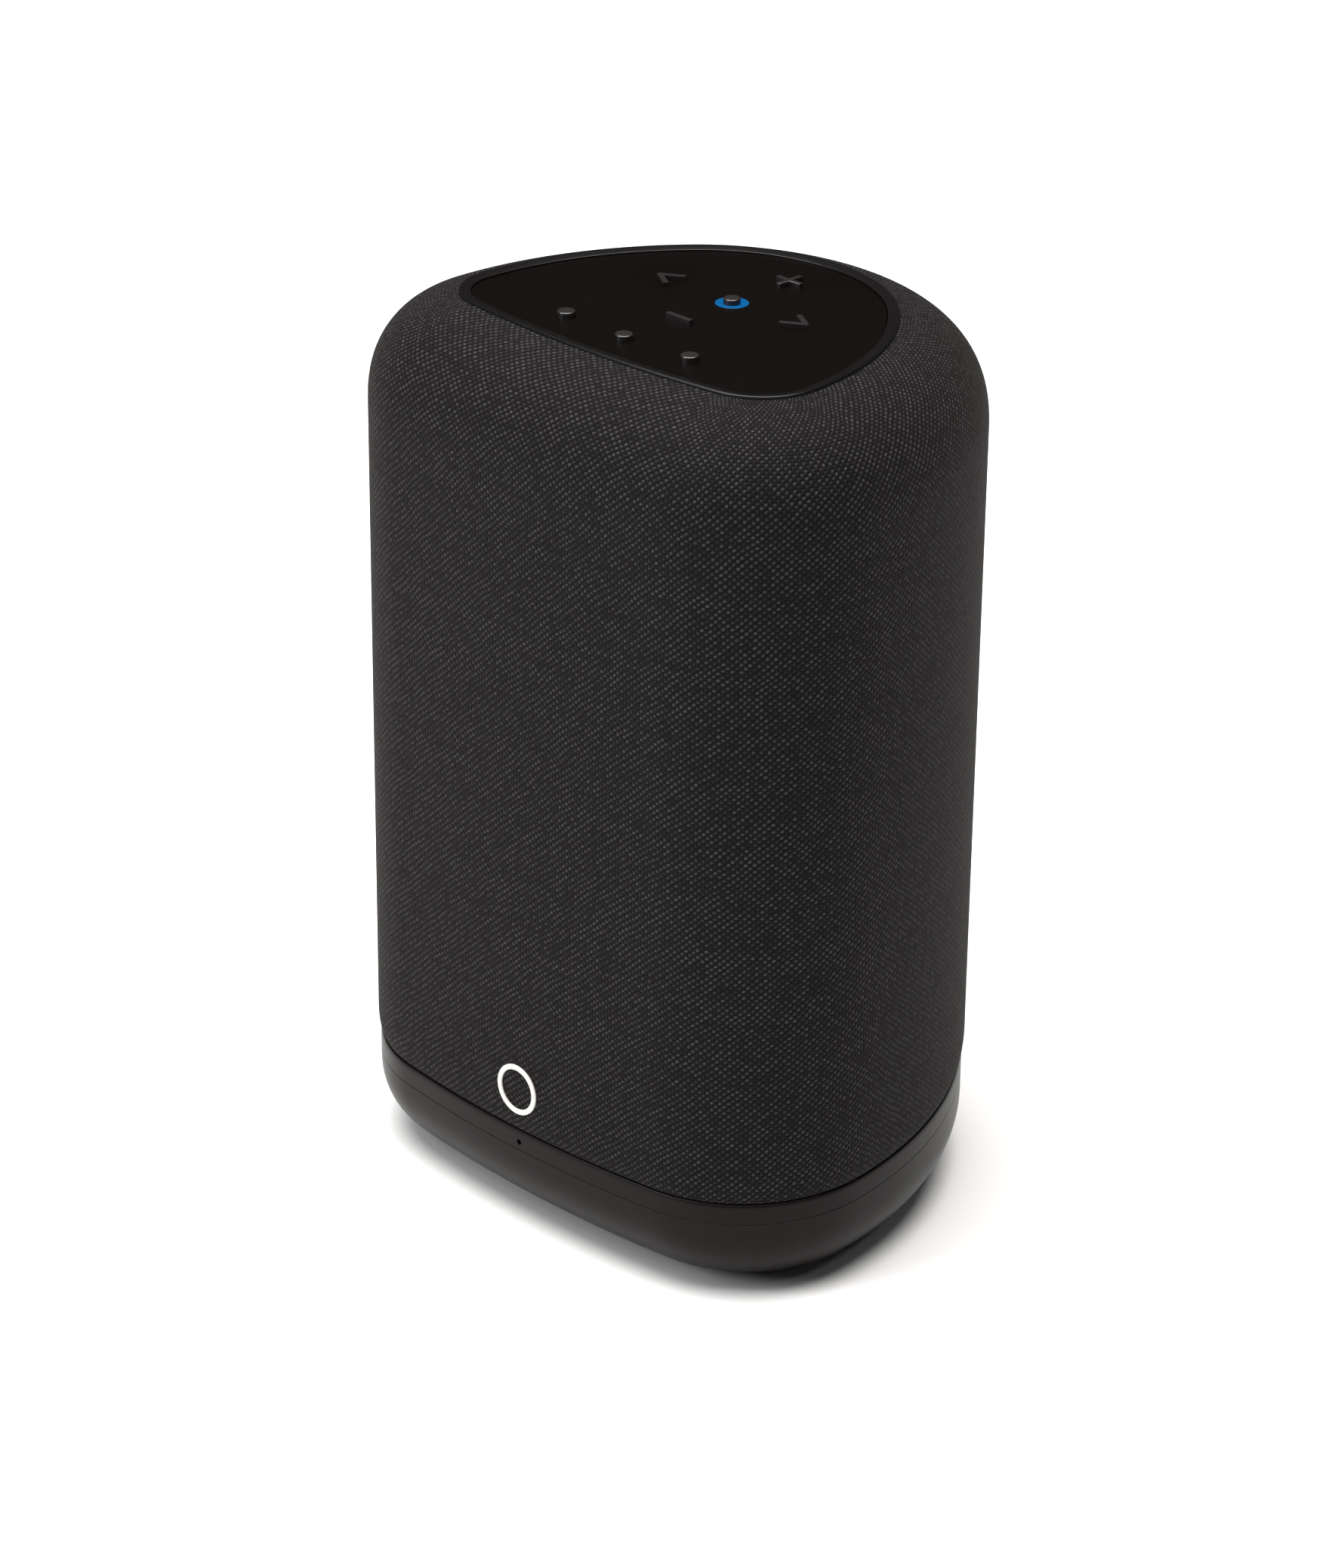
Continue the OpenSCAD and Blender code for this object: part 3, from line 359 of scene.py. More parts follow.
def pressedCone(name, colour=(0.06, 0.058, 0.055)):
    # paper pulp with fibres
    material, tree, shader = newMaterial(name)
    place = addNode(tree, "ShaderNodeTexCoord").outputs["Object"]
    pulp = noiseOf(tree, place, 900, 6)
    fibres = addNode(tree, "ShaderNodeTexVoronoi", {"Vector": place, "Scale": 1400.0}).outputs[0]
    feed(tree, shader.inputs["Base Color"], mixColour(tree, pulp, rgb(colour, 0.7), rgb(colour, 1.5)))
    feed(tree, shader.inputs["Roughness"], remap(tree, pulp, 0.3, 0.7, 0.7, 0.88))
    addBump(tree, shader, calc(tree, "ADD", pulp, fibres), 0.05 * mm)
    return material


def glowingLens(name):
    material, tree, shader = newMaterial(name)
    place = addNode(tree, "ShaderNodeTexCoord").outputs["Object"]
    haze = noiseOf(tree, place, 700, 3)
    feed(tree, shader.inputs["Base Color"],
         mixColour(tree, haze, (0.0, 0.004, 0.012, 1), (0.0, 0.006, 0.018, 1)))
    feed(tree, shader.inputs["Emission Color"],
         mixColour(tree, haze, (0.0, 0.115, 0.34, 1), (0.0, 0.14, 0.40, 1)))
    shader.inputs["Emission Strength"].default_value = 1.0
    shader.inputs["Roughness"].default_value = 0.4
    shader.inputs["Specular IOR Level"].default_value = 0.1
    return material


# plan outline: six tangent arcs, where an inset moves each arc inwards alike
coverLow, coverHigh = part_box("fabric_cover")
plan = {
    "cornerRadius": 30.5 * mm,
    "backRadius": 54.6 * mm,
    "frontBow": 2 * mm,
    "sideBow": 6 * mm,
    "arcSteps": (14, 30, 26, 24),   # half the front, corner, side, half the back
}
halfWidth = coverHigh.x
frontY, backY = coverLow.y, coverHigh.y


def planArcs():
    corner, back = plan["cornerRadius"], plan["backRadius"]
    cornerX = halfWidth - corner
    frontRadius = cornerX ** 2 / (2 * plan["frontBow"]) + corner
    frontCentre = Vector((0, frontY + frontRadius))
    cornerCentre = Vector((cornerX, frontCentre.y - math.sqrt((frontRadius - corner) ** 2 - cornerX ** 2)))
    backCentre = Vector((0, backY - back))
    reach = backCentre - cornerCentre
    length = reach.length
    sideRadius = length ** 2 / (8 * plan["sideBow"]) + back
    run = ((sideRadius - corner) ** 2 - (sideRadius - back) ** 2 + length ** 2) / (2 * length)
    deep = math.sqrt((sideRadius - corner) ** 2 - run ** 2)
    heading = reach / length
    sideCentre = cornerCentre + heading * run - Vector((heading.y, -heading.x)) * deep

    def bearing(fromPoint, toPoint):
        return math.atan2(toPoint.y - fromPoint.y, toPoint.x - fromPoint.x)
    turns = (-math.pi / 2, bearing(frontCentre, cornerCentre), bearing(sideCentre, cornerCentre),
             bearing(sideCentre, backCentre), math.pi / 2)
    centres = (frontCentre, cornerCentre, sideCentre, backCentre)
    radii = (frontRadius, corner, sideRadius, back)
    return list(zip(centres, radii, turns[:-1], turns[1:], plan["arcSteps"]))


def planLoop():
    # (point, inward direction) all round from the middle of the back, as seen from above anticlockwise
    half = []
    for centre, radius, start, end, steps in planArcs():
        for i in range(steps):
            angle = start + (end - start) * i / steps
            outward = Vector((math.cos(angle), math.sin(angle)))
            half.append((centre + outward * radius, -outward))
    top = (Vector((0, backY)), Vector((0, -1)))
    mirrored = [(Vector((-p.x, p.y)), Vector((-n.x, n.y))) for p, n in reversed(half[1:])]
    return [top] + mirrored + half


def pointCloud(name, points, along, vectors=None):
    # vertices only, with what the loft tree samples stored on them
    mesh = meshFrom(name, points, [])
    mesh.attributes.new("along", "FLOAT", "POINT").data.foreach_set("value", along)
    if vectors:
        flat = [part for v in vectors for part in v]
        mesh.attributes.new("inward", "FLOAT_VECTOR", "POINT").data.foreach_set("vector", flat)
    return newPiece(name, mesh)


def runningLength(points):
    total, lengths = 0.0, [0.0]
    for a, b in zip(points, points[1:]):
        total += (Vector(b) - Vector(a)).length
        lengths.append(total)
    return lengths


loop = planLoop()
loop.append(loop[0])
planPoints = [(p.x, p.y, 0) for p, n in loop]
planCloud = pointCloud("planPoints", planPoints, runningLength(planPoints), [(n.x, n.y, 0) for p, n in loop])


# the loft: a profile of (inset, height) carried round the plan outline
def buildLoftTree():
    tree = bpy.data.node_groups.new("shellRoundPlan", "GeometryNodeTree")
    for name, kind in (("Plan", "NodeSocketObject"), ("Profile", "NodeSocketObject"),
                       ("Seam Slope", "NodeSocketFloat"), ("Front", "NodeSocketFloat"),
                       ("Weld Distance", "NodeSocketFloat"),
                       ("Finish", "NodeSocketMaterial")):
        tree.interface.new_socket(name=name, in_out="INPUT", socket_type=kind)
    tree.interface.new_socket(name="Geometry", in_out="OUTPUT", socket_type="NodeSocketGeometry")
    given = addNode(tree, "NodeGroupInput").outputs
    planShape = addNode(tree, "GeometryNodeObjectInfo", {"Object": given["Plan"]}).outputs["Geometry"]
    profileShape = addNode(tree, "GeometryNodeObjectInfo", {"Object": given["Profile"]}).outputs["Geometry"]
    columns = addNode(tree, "GeometryNodeAttributeDomainSize", {0: planShape}).outputs[0]
    rows = addNode(tree, "GeometryNodeAttributeDomainSize", {0: profileShape}).outputs[0]
    grid = addNode(tree, "GeometryNodeMeshGrid",
                   {"Size X": 1.0, "Size Y": 1.0, "Vertices X": columns, "Vertices Y": rows}).outputs[0]
    spot = addNode(tree, "ShaderNodeSeparateXYZ", {0: addNode(tree, "GeometryNodeInputPosition").outputs[0]})

    def counted(share, count):
        steps = calc(tree, "SUBTRACT", count, 1.0)
        return calc(tree, "ROUND", calc(tree, "MULTIPLY", calc(tree, "ADD", share, 0.5), steps))
    column, row = counted(spot.outputs[0], columns), counted(spot.outputs[1], rows)

    def sampled(shape, field, index, kind):
        node = addNode(tree, "GeometryNodeSampleIndex", {"Geometry": shape, "Value": field, "Index": index},
                       data_type=kind, domain="POINT")
        return node.outputs[0]

    def named(name, kind):
        return addNode(tree, "GeometryNodeInputNamedAttribute", {"Name": name}, data_type=kind).outputs[0]
    place = addNode(tree, "GeometryNodeInputPosition").outputs[0]
    planPlace = sampled(planShape, place, column, "FLOAT_VECTOR")
    inward = sampled(planShape, named("inward", "FLOAT_VECTOR"), column, "FLOAT_VECTOR")
    planRun = sampled(planShape, named("along", "FLOAT"), column, "FLOAT")
    profilePlace = addNode(tree, "ShaderNodeSeparateXYZ",
                           {0: sampled(profileShape, place, row, "FLOAT_VECTOR")})
    profileRun = sampled(profileShape, named("along", "FLOAT"), row, "FLOAT")
    flat = vectorCalc(tree, "ADD", planPlace, vectorCalc(tree, "SCALE", inward, profilePlace.outputs[0]))
    flatY = addNode(tree, "ShaderNodeSeparateXYZ", {0: flat}).outputs[1]
    behind = calc(tree, "SUBTRACT", flatY, given["Front"])
    lift = calc(tree, "MULTIPLY", calc(tree, "MULTIPLY", behind, given["Seam Slope"]),
                profilePlace.outputs[1])
    height = calc(tree, "ADD", profilePlace.outputs[2], lift)
    raised = vectorCalc(tree, "ADD", flat, addNode(tree, "ShaderNodeCombineXYZ", {2: height}).outputs[0])
    # the runs are kept on the points first, because moving the grid changes its positions
    uv = addNode(tree, "ShaderNodeCombineXYZ", {0: planRun, 1: profileRun}).outputs[0]
    mapped = addNode(tree, "GeometryNodeStoreNamedAttribute",
                     {"Geometry": grid, "Name": "UVMap", "Value": uv},
                     data_type="FLOAT2", domain="CORNER").outputs[0]
    shaped = addNode(tree, "GeometryNodeSetPosition", {"Geometry": mapped, "Position": raised}).outputs[0]
    closed = addNode(tree, "GeometryNodeMergeByDistance",
                     {"Geometry": shaped, "Distance": given["Weld Distance"]}).outputs[0]
    real = addNode(tree, "GeometryNodeRealizeInstances", {"Geometry": closed}).outputs[0]
    done = addNode(tree, "GeometryNodeSetMaterial",
                   {"Geometry": real, "Material": given["Finish"]}).outputs[0]
    tree.links.new(done, addNode(tree, "NodeGroupOutput").inputs[0])
    return tree


def makeWith(tree, name, values):
    # runs a tree on an empty holder and keeps the result as a plain mesh
    holder = newPiece(name + "Holder", bpy.data.meshes.new(name + "Holder"))
    modifier = holder.modifiers.new("maker", "NODES")
    modifier.node_group = tree
    for item in tree.interface.items_tree:
        if item.in_out == "INPUT" and item.name in values:
            modifier[item.identifier] = values[item.name]
    piece = newPiece(name, evaluatedMesh(holder))
    bpy.data.objects.remove(holder)
    return piece


loftTree = buildLoftTree()
seam = {
    "front": coverLow.z,                                        # the cover's lower edge at the front
    "slope": 4.2 * mm / (backY - frontY),
}


def carriedRound(name, profile, material, sharpAngle=40, closed=True, seamShare=0.0):
    # profile: (inset, height) or (inset, height, share of the seam's rise), in metres
    stations = [(p[0], p[2] if len(p) > 2 else seamShare, p[1]) for p in profile]
    if closed:
        stations.append(stations[0])
    flat = [(x, 0, z) for x, share, z in stations]
    cloud = pointCloud(name + "Profile", stations, runningLength(flat))
    piece = makeWith(loftTree, name, {"Plan": planCloud, "Profile": cloud, "Seam Slope": seam["slope"],
                                      "Front": frontY, "Weld Distance": 0.000001, "Finish": material})
    bpy.data.objects.remove(cloud)
    shell = bmesh.new()
    shell.from_mesh(piece.data)
    if not closed:
        rims = [e for e in shell.edges if e.is_boundary]
        bmesh.ops.holes_fill(shell, edges=rims, sides=0)
    bmesh.ops.recalc_face_normals(shell, faces=shell.faces)
    if shell.calc_volume(signed=True) < 0:
        bmesh.ops.reverse_faces(shell, faces=shell.faces)
    shell.to_mesh(piece.data)
    shell.free()
    piece.data.shade_smooth()
    piece.data.set_sharp_from_angle(angle=math.radians(sharpAngle))
    return piece


def rounded(corners, radii, steps=5):
    # polyline with an arc at each corner that has a radius
    line = []
    for i, (corner, radius) in enumerate(zip(corners, radii)):
        here = Vector(corner)
        if not radius:
            line.append(tuple(here))
            continue
        before = (Vector(corners[i - 1]) - here).normalized()
        after = (Vector(corners[(i + 1) % len(corners)]) - here).normalized()
        half = before.angle(after) / 2
        reach = radius / math.tan(half)
        centre = here + (before + after).normalized() * radius / math.sin(half)
        first, last = here + before * reach - centre, here + after * reach - centre
        sweep = first.angle_signed(last)
        for k in range(steps + 1):
            angle = -sweep * k / steps
            line.append(tuple(centre + Vector((first.x * math.cos(angle) - first.y * math.sin(angle),
                                               first.x * math.sin(angle) + first.y * math.cos(angle)))))
    return line


# woven cover
cover = {
    "thickness": 1 * mm,
    "swell": 0.35 * mm,        # how far the soft cloth stands off its nominal outline
    "shoulderReach": 23.4 * mm,
    "shoulderRise": 21.8 * mm,
    "squareness": 2.3,
    "drop": 0.6 * mm,          # from the rim's top to the crown
    "rimInset": 17.5 * mm,
    "hemTuck": 0.75 * mm,      # how far the lower edge turns in
    "hemRise": 5 * mm,
    "sideRows": 26,
    "shoulderRows": 34,
    "innerRows": 12,
    "hemSteps": 6,
    "windowGap": 0.3 * mm,
    "windowCorner": 1.2 * mm,
}
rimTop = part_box("bezel_ring")[1].z


def shoulderPoint(angle, depth):
    power = 2 / cover["squareness"]
    swell = 0 if depth else cover["swell"]
    inset = depth - swell * math.cos(angle) + cover["shoulderReach"] * (1 - math.cos(angle) ** power)
    start = rimTop - cover["drop"] - cover["shoulderRise"]
    return (min(inset, cover["rimInset"] - 0.05 * mm),
            start + (cover["shoulderRise"] + swell - depth) * math.sin(angle) ** power, 0.0)


def coverProfile():
    stop = math.acos((1 - cover["rimInset"] / cover["shoulderReach"]) ** (cover["squareness"] / 2))
    start = shoulderPoint(0, 0)[1]
    hemTop = seam["front"] + cover["hemRise"]
    outer = []
    for i in range(cover["hemSteps"] + 1):
        a = math.pi / 2 * i / cover["hemSteps"]
        turnedIn = (cover["hemTuck"] + cover["swell"]) * (1 - math.sin(a))
        outer.append((turnedIn - cover["swell"], hemTop - cover["hemRise"] * math.cos(a)))
    outer += [(-cover["swell"], hemTop + (start - hemTop) * i / cover["sideRows"])
              for i in range(1, cover["sideRows"])]
    outer = [(x, z, (start - z) / (start - seam["front"])) for x, z in outer]
    outer += [shoulderPoint(stop * i / cover["shoulderRows"], 0) for i in range(cover["shoulderRows"] + 1)]
    rows = cover["innerRows"]
    inner = [shoulderPoint(stop * i / rows, cover["thickness"]) for i in range(rows, -1, -1)]
    inner.append((cover["thickness"], seam["front"], 1.0))
    return outer + inner


def roundedBox(name, low, high, radius, steps=6):
    # box along Y with rounded vertical and level edges seen from the back
    corners = [(low.x, low.z), (high.x, low.z), (high.x, high.z), (low.x, high.z)]
    ring = rounded(corners, [radius] * 4, steps)
    count = len(ring)
    points = [(x, low.y, z) for x, z in ring] + [(x, high.y, z) for x, z in ring]
    faces = [(i, (i + 1) % count, count + (i + 1) % count, count + i) for i in range(count)]
    faces += [tuple(range(count - 1, -1, -1)), tuple(range(count, 2 * count))]
    box = newPiece(name, meshFrom(name, points, faces))
    fixNormals(box)
    return box


def fixNormals(piece):
    shell = bmesh.new()
    shell.from_mesh(piece.data)
    bmesh.ops.recalc_face_normals(shell, faces=shell.faces)
    shell.to_mesh(piece.data)
    shell.free()


def makeCover():
    piece = carriedRound("wovenCover", coverProfile(), wovenCloth("wovenCloth"), sharpAngle=50)
    panelLow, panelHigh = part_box("rear_panel")
    gap = Vector((cover["windowGap"], 0, cover["windowGap"]))
    low, high = panelLow - gap, panelHigh + gap
    high.y = backY + 0.02
    low.y = panelLow.y
    cutWith(piece, roundedBox("coverWindow", low, high, cover["windowCorner"]))
    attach(piece, "housing")
    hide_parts("fabric_cover")
    return piece


# base: tray, collar and foot
base = {
    "inset": 0.1 * mm,
    "wall": 2.4 * mm,
    "floor": 2.6 * mm,
    "roundReach": 17.3 * mm,
    "fullness": 0.92,          # under 1 makes the rounding of the tray fuller
    "steps": 18,
    "partingChamfer": 0.08 * mm,
    "crestIn": 0.4 * mm,       # rounding of the collar's upper edge, inwards and down
    "crestDown": 1.3 * mm,
    "footWidth": 4.6 * mm,
    "footGap": 1 * mm,
    "postRadius": 4.4 * mm,
    "headHole": 3.3 * mm,
    "shankHole": 1.7 * mm,
    "portRadius": 0.6 * mm,
    "portHeight": 1.8 * mm,    # above the parting line
    "partingGap": 0.02 * mm,   # each side of the parting line
    "collarGap": 0.15 * mm,    # under the cover
    "footRound": 0.35 * mm,
    "crestSteps": 6,
}


def trayRows(depth):
    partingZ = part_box("base_collar")[0].z
    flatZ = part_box("base_tray")[0].z
    rise = partingZ - flatZ - 1.5 * mm
    rows = []
    for i in range(base["steps"], -1, -1):
        angle = math.pi / 2 * i / base["steps"]
        inset = base["inset"] + depth + base["roundReach"] * (1 - math.cos(angle) ** base["fullness"])
        drop = (rise - depth) * (1 - math.sin(angle) ** base["fullness"])
        rows.append((inset, flatZ + depth * base["floor"] / base["wall"] + drop, 0.0))
    return rows


def screwPlaces():
    # the four base screws, as the centres of clusters of the node's own vertices
    points = [v.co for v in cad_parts["base_screws"].data.vertices]
    places = []
    for p in points:
        if all((Vector((p.x, p.y)) - Vector(q)).length > 8 * mm for q in places):
            near = [v for v in points if (Vector((v.x, v.y)) - Vector((p.x, p.y))).length < 8 * mm]
            places.append((sum(v.x for v in near) / len(near), sum(v.y for v in near) / len(near)))
    return places


def makeBase(plastic, collarPlastic, rubber):
    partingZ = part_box("base_collar")[0].z
    chamfer, inset, wall = base["partingChamfer"], base["inset"], base["wall"]
    gap = base["partingGap"]
    outer = trayRows(0)
    inner = trayRows(wall)[::-1]
    lip = [(inset, partingZ - chamfer, 1.0), (inset + chamfer, partingZ - gap, 1.0),
           (inset + wall, partingZ - gap, 1.0)]
    tray = carriedRound("baseTray", outer + lip + inner, plastic, closed=False)
    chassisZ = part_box("chassis_plate")[0].z
    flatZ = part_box("base_tray")[0].z
    screws = screwPlaces()
    for x, y in screws:
        at = Matrix.Translation((x, y, 0))
        post = drum("postTool", base["postRadius"], at, flatZ + base["floor"] - 0.5 * mm, chassisZ)
        cutWith(tray, post, "UNION")
    for x, y in screws:
        at = Matrix.Translation((x, y, 0))
        cutWith(tray, drum("headTool", base["headHole"], at, -1 * mm, flatZ + 3 * mm))
        cutWith(tray, drum("shankTool", base["shankHole"], at, -1 * mm, chassisZ + 1 * mm))
    high = seam["front"] - base["collarGap"]
    collarLoop = [(inset + chamfer, partingZ + gap), (inset, partingZ + chamfer)]
    for i in range(base["crestSteps"] + 1):
        angle = math.pi / 2 * i / base["crestSteps"]
        collarLoop.append((inset + base["crestIn"] * (1 - math.cos(angle)),
                           high - base["crestDown"] * (1 - math.sin(angle))))
    collarLoop += [(inset + wall, high), (inset + wall, partingZ + gap)]
    collar = carriedRound("baseCollar", collarLoop, collarPlastic, seamShare=1.0)
    portZ = partingZ + base["portHeight"]
    forward = Matrix.Translation((0, 0, portZ)) @ Matrix.Rotation(math.pi / 2, 4, "X")
    cutWith(collar, drum("portTool", base["portRadius"], forward, -frontY - 8 * mm, -frontY + 4 * mm, 24))

    footIn = inset + base["roundReach"] + base["footGap"]
    footLow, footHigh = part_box("rubber_foot")
    r = base["footRound"]
    footLoop = rounded([(footIn, footLow.z), (footIn, footHigh.z), (footIn + base["footWidth"], footHigh.z),
                        (footIn + base["footWidth"], footLow.z)], [r, 0, 0, r], 4)
    foot = carriedRound("rubberFoot", footLoop, rubber)
    for piece, node in ((tray, "base_tray"), (collar, "base_collar"), (foot, "rubber_foot")):
        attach(piece, "housing")
        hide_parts(node)


# rim and keypad
rim = {
    "width": 2.4 * mm,
    "dish": 0.45 * mm,         # how far the band falls towards the plate
    "lip": 0.32 * mm,          # radius of the outer lip
    "innerLip": 0.15 * mm,
    "ledge": 2.7 * mm,
}


def makeRim(material):
    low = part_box("bezel_ring")[0].z
    plateLow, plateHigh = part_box("keypad_plate")
    outer, inner = cover["rimInset"], cover["rimInset"] + rim["width"]
    corners = [(outer, low), (outer, rimTop), (inner, rimTop - rim["dish"]), (inner, plateLow.z),
               (inner + rim["ledge"], plateLow.z), (inner + rim["ledge"], low)]
    profile = rounded(corners, [0, rim["lip"], rim["innerLip"], 0, 0, 0], 7)
    piece = carriedRound("rimRing", profile, material, sharpAngle=50)
    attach(piece, "housing")
    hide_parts("bezel_ring")


keys = {
    "bodies": ("play_key", "previous_key", "next_key", "volume_up_key", "volume_down_key",
               "preset_key_1", "preset_key_2", "preset_key_3"),
    "roundEdge": 0.3 * mm,     # edge rounding of the round keys, and of the symbols
    "symbolEdge": 0.16 * mm,
    "dimpleDepth": 0.22 * mm,
    "dimpleReach": 3.6 * mm,
    "gridStep": 0.6 * mm,
    "slab": 0.3 * mm,          # thickness of the plate's fine upper layer
}


def merged(node):
    # a welded copy of a CAD node, with its flat faces joined again
    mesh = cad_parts[node].data.copy()
    shell = bmesh.new()
    shell.from_mesh(mesh)
    bmesh.ops.remove_doubles(shell, verts=shell.verts, dist=0.000002)
    bmesh.ops.dissolve_degenerate(shell, edges=shell.edges, dist=0.000002)
    bmesh.ops.dissolve_limit(shell, angle_limit=math.radians(0.5), verts=shell.verts, edges=shell.edges)
    shell.to_mesh(mesh)
    shell.free()
    return mesh


softening = {"segments": 3, "sharpFrom": 40}     # bevel steps, and the angle that counts as an edge


def softened(node, name, material, body, width):
    # the CAD node's own shape with its sharp edges broken
    piece = newPiece(name, merged(node), material)
    edges = piece.modifiers.new("edges", "BEVEL")
    edges.width, edges.segments, edges.limit_method = width, softening["segments"], "ANGLE"
    edges.angle_limit = math.radians(softening["sharpFrom"])
    edges.use_clamp_overlap = True
    settle(piece)
    weighted = piece.modifiers.new("weighted", "WEIGHTED_NORMAL")
    weighted.keep_sharp = True
    mesh = evaluatedMesh(piece)
    piece.modifiers.clear()
    piece.data = mesh
    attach(piece, body)
    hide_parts(node)


def makePlate(material):
    low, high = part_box("keypad_plate")
    step = keys["gridStep"]
    across, deep = math.ceil((high.x - low.x) / step) + 1, math.ceil((high.y - low.y) / step) + 1
    slab = bmesh.new()
    bmesh.ops.create_grid(slab, x_segments=across, y_segments=deep, size=0.5)
    for v in slab.verts:
        v.co = Vector((v.co.x * across * step, (low.y + high.y) / 2 + v.co.y * deep * step,
                       high.z - keys["slab"]))
    top = bmesh.ops.extrude_face_region(slab, geom=slab.faces[:])
    for v in [item for item in top["geom"] if isinstance(item, bmesh.types.BMVert)]:
        v.co.z = high.z
    bmesh.ops.recalc_face_normals(slab, faces=slab.faces)
    mesh = bpy.data.meshes.new("keypadPlate")
    slab.to_mesh(mesh)
    slab.free()
    piece = newPiece("keypadPlate", mesh, material)
    lower = newPiece("plateBody", merged("keypad_plate"))
    cutWith(piece, newPiece("plateTool", merged("keypad_plate")), "INTERSECT")
    centres = [(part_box(body)[0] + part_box(body)[1]) / 2 for body in keys["bodies"]]
    for v in piece.data.vertices:
        if v.co.z > high.z - 0.05 * mm:
            near = min((Vector((v.co.x, v.co.y)) - Vector((c.x, c.y))).length for c in centres)
            v.co.z -= keys["dimpleDepth"] * math.exp(-(near / keys["dimpleReach"]) ** 2)
    for v in lower.data.vertices:
        v.co.z = min(v.co.z, high.z - keys["slab"])
    shell = bmesh.new()
    shell.from_mesh(piece.data)
    shell.from_mesh(lower.data)
    shell.to_mesh(piece.data)
    shell.free()
    bpy.data.objects.remove(lower)
    piece.data.materials.clear()
    piece.data.materials.append(material)
    piece.data.shade_smooth()
    piece.data.set_sharp_from_angle(angle=math.radians(30))
    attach(piece, "housing")
    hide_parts("keypad_plate")


lens = {
    "flange": 1.2 * mm,        # how far the play key's flange reaches past its cap
    "keyGap": 0.08 * mm,
    "outerDrop": 0.05 * mm,    # how far each edge sits below the plate's top
    "innerDrop": 0.12 * mm,
    "outerRound": 0.12 * mm,
    "innerRound": 0.1 * mm,
}


def makeKeypad():
    satin = mouldedPlastic("keyPlastic", (0.0095, 0.0082, 0.0076), 0.33, 0.2, 0.003, 0.8)
    makePlate(mouldedPlastic("platePlastic", (0.0020, 0.0014, 0.0012), 0.38, 0.12, 0.01, 0.06))
    for body in keys["bodies"]:
        isRound = body == "play_key" or body.startswith("preset")
        softened(body, body + "_cap", satin, body, keys["roundEdge"] if isRound else keys["symbolEdge"])
    low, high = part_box("light_ring")
    outer = (high.x - low.x) / 2
    inner = (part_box("play_key")[1].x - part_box("play_key")[0].x) / 2 - lens["flange"]
    inner += lens["keyGap"]
    corners = [(inner, low.z), (outer, low.z), (outer, high.z - lens["outerDrop"]),
               (inner, high.z - lens["innerDrop"])]
    loopPoints = rounded(corners, [0, 0, lens["outerRound"], lens["innerRound"]], 4)
    place = Matrix.Translation(((low.x + high.x) / 2, (low.y + high.y) / 2, 0))
    ring = newPiece("lightRing", turnedMesh("lightRing", loopPoints, place), glowingLens("blueLens"))
    fixNormals(ring)
    ring.data.shade_smooth()
    ring.data.set_sharp_from_angle(angle=math.radians(40))
    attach(ring, "housing")
    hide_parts("light_ring")


# plain ring badge on the front
badge = {"line": 1.1 * mm, "edge": 0.12 * mm}


def makeBadge():
    low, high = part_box("front_badge")
    outer = (high.x - low.x) / 2
    inner = outer - badge["line"]
    back, front = 0, high.y - low.y + cover["swell"]
    profile = rounded([(inner, back), (outer, back), (outer, front), (inner, front)],
                      [0, 0, badge["edge"], badge["edge"]], 4)
    place = Matrix.Translation((0, high.y, (low.z + high.z) / 2)) @ Matrix.Rotation(math.pi / 2, 4, "X")
    mesh = turnedMesh("frontBadge", profile, place, 96)
    piece = newPiece("frontBadge", mesh, mouldedPlastic("badgePaint", (0.74, 0.72, 0.67), 0.4, 0.15, 0.004))
    fixNormals(piece)
    piece.data.shade_smooth()
    piece.data.set_sharp_from_angle(angle=math.radians(50))
    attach(piece, "housing")
    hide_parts("front_badge")


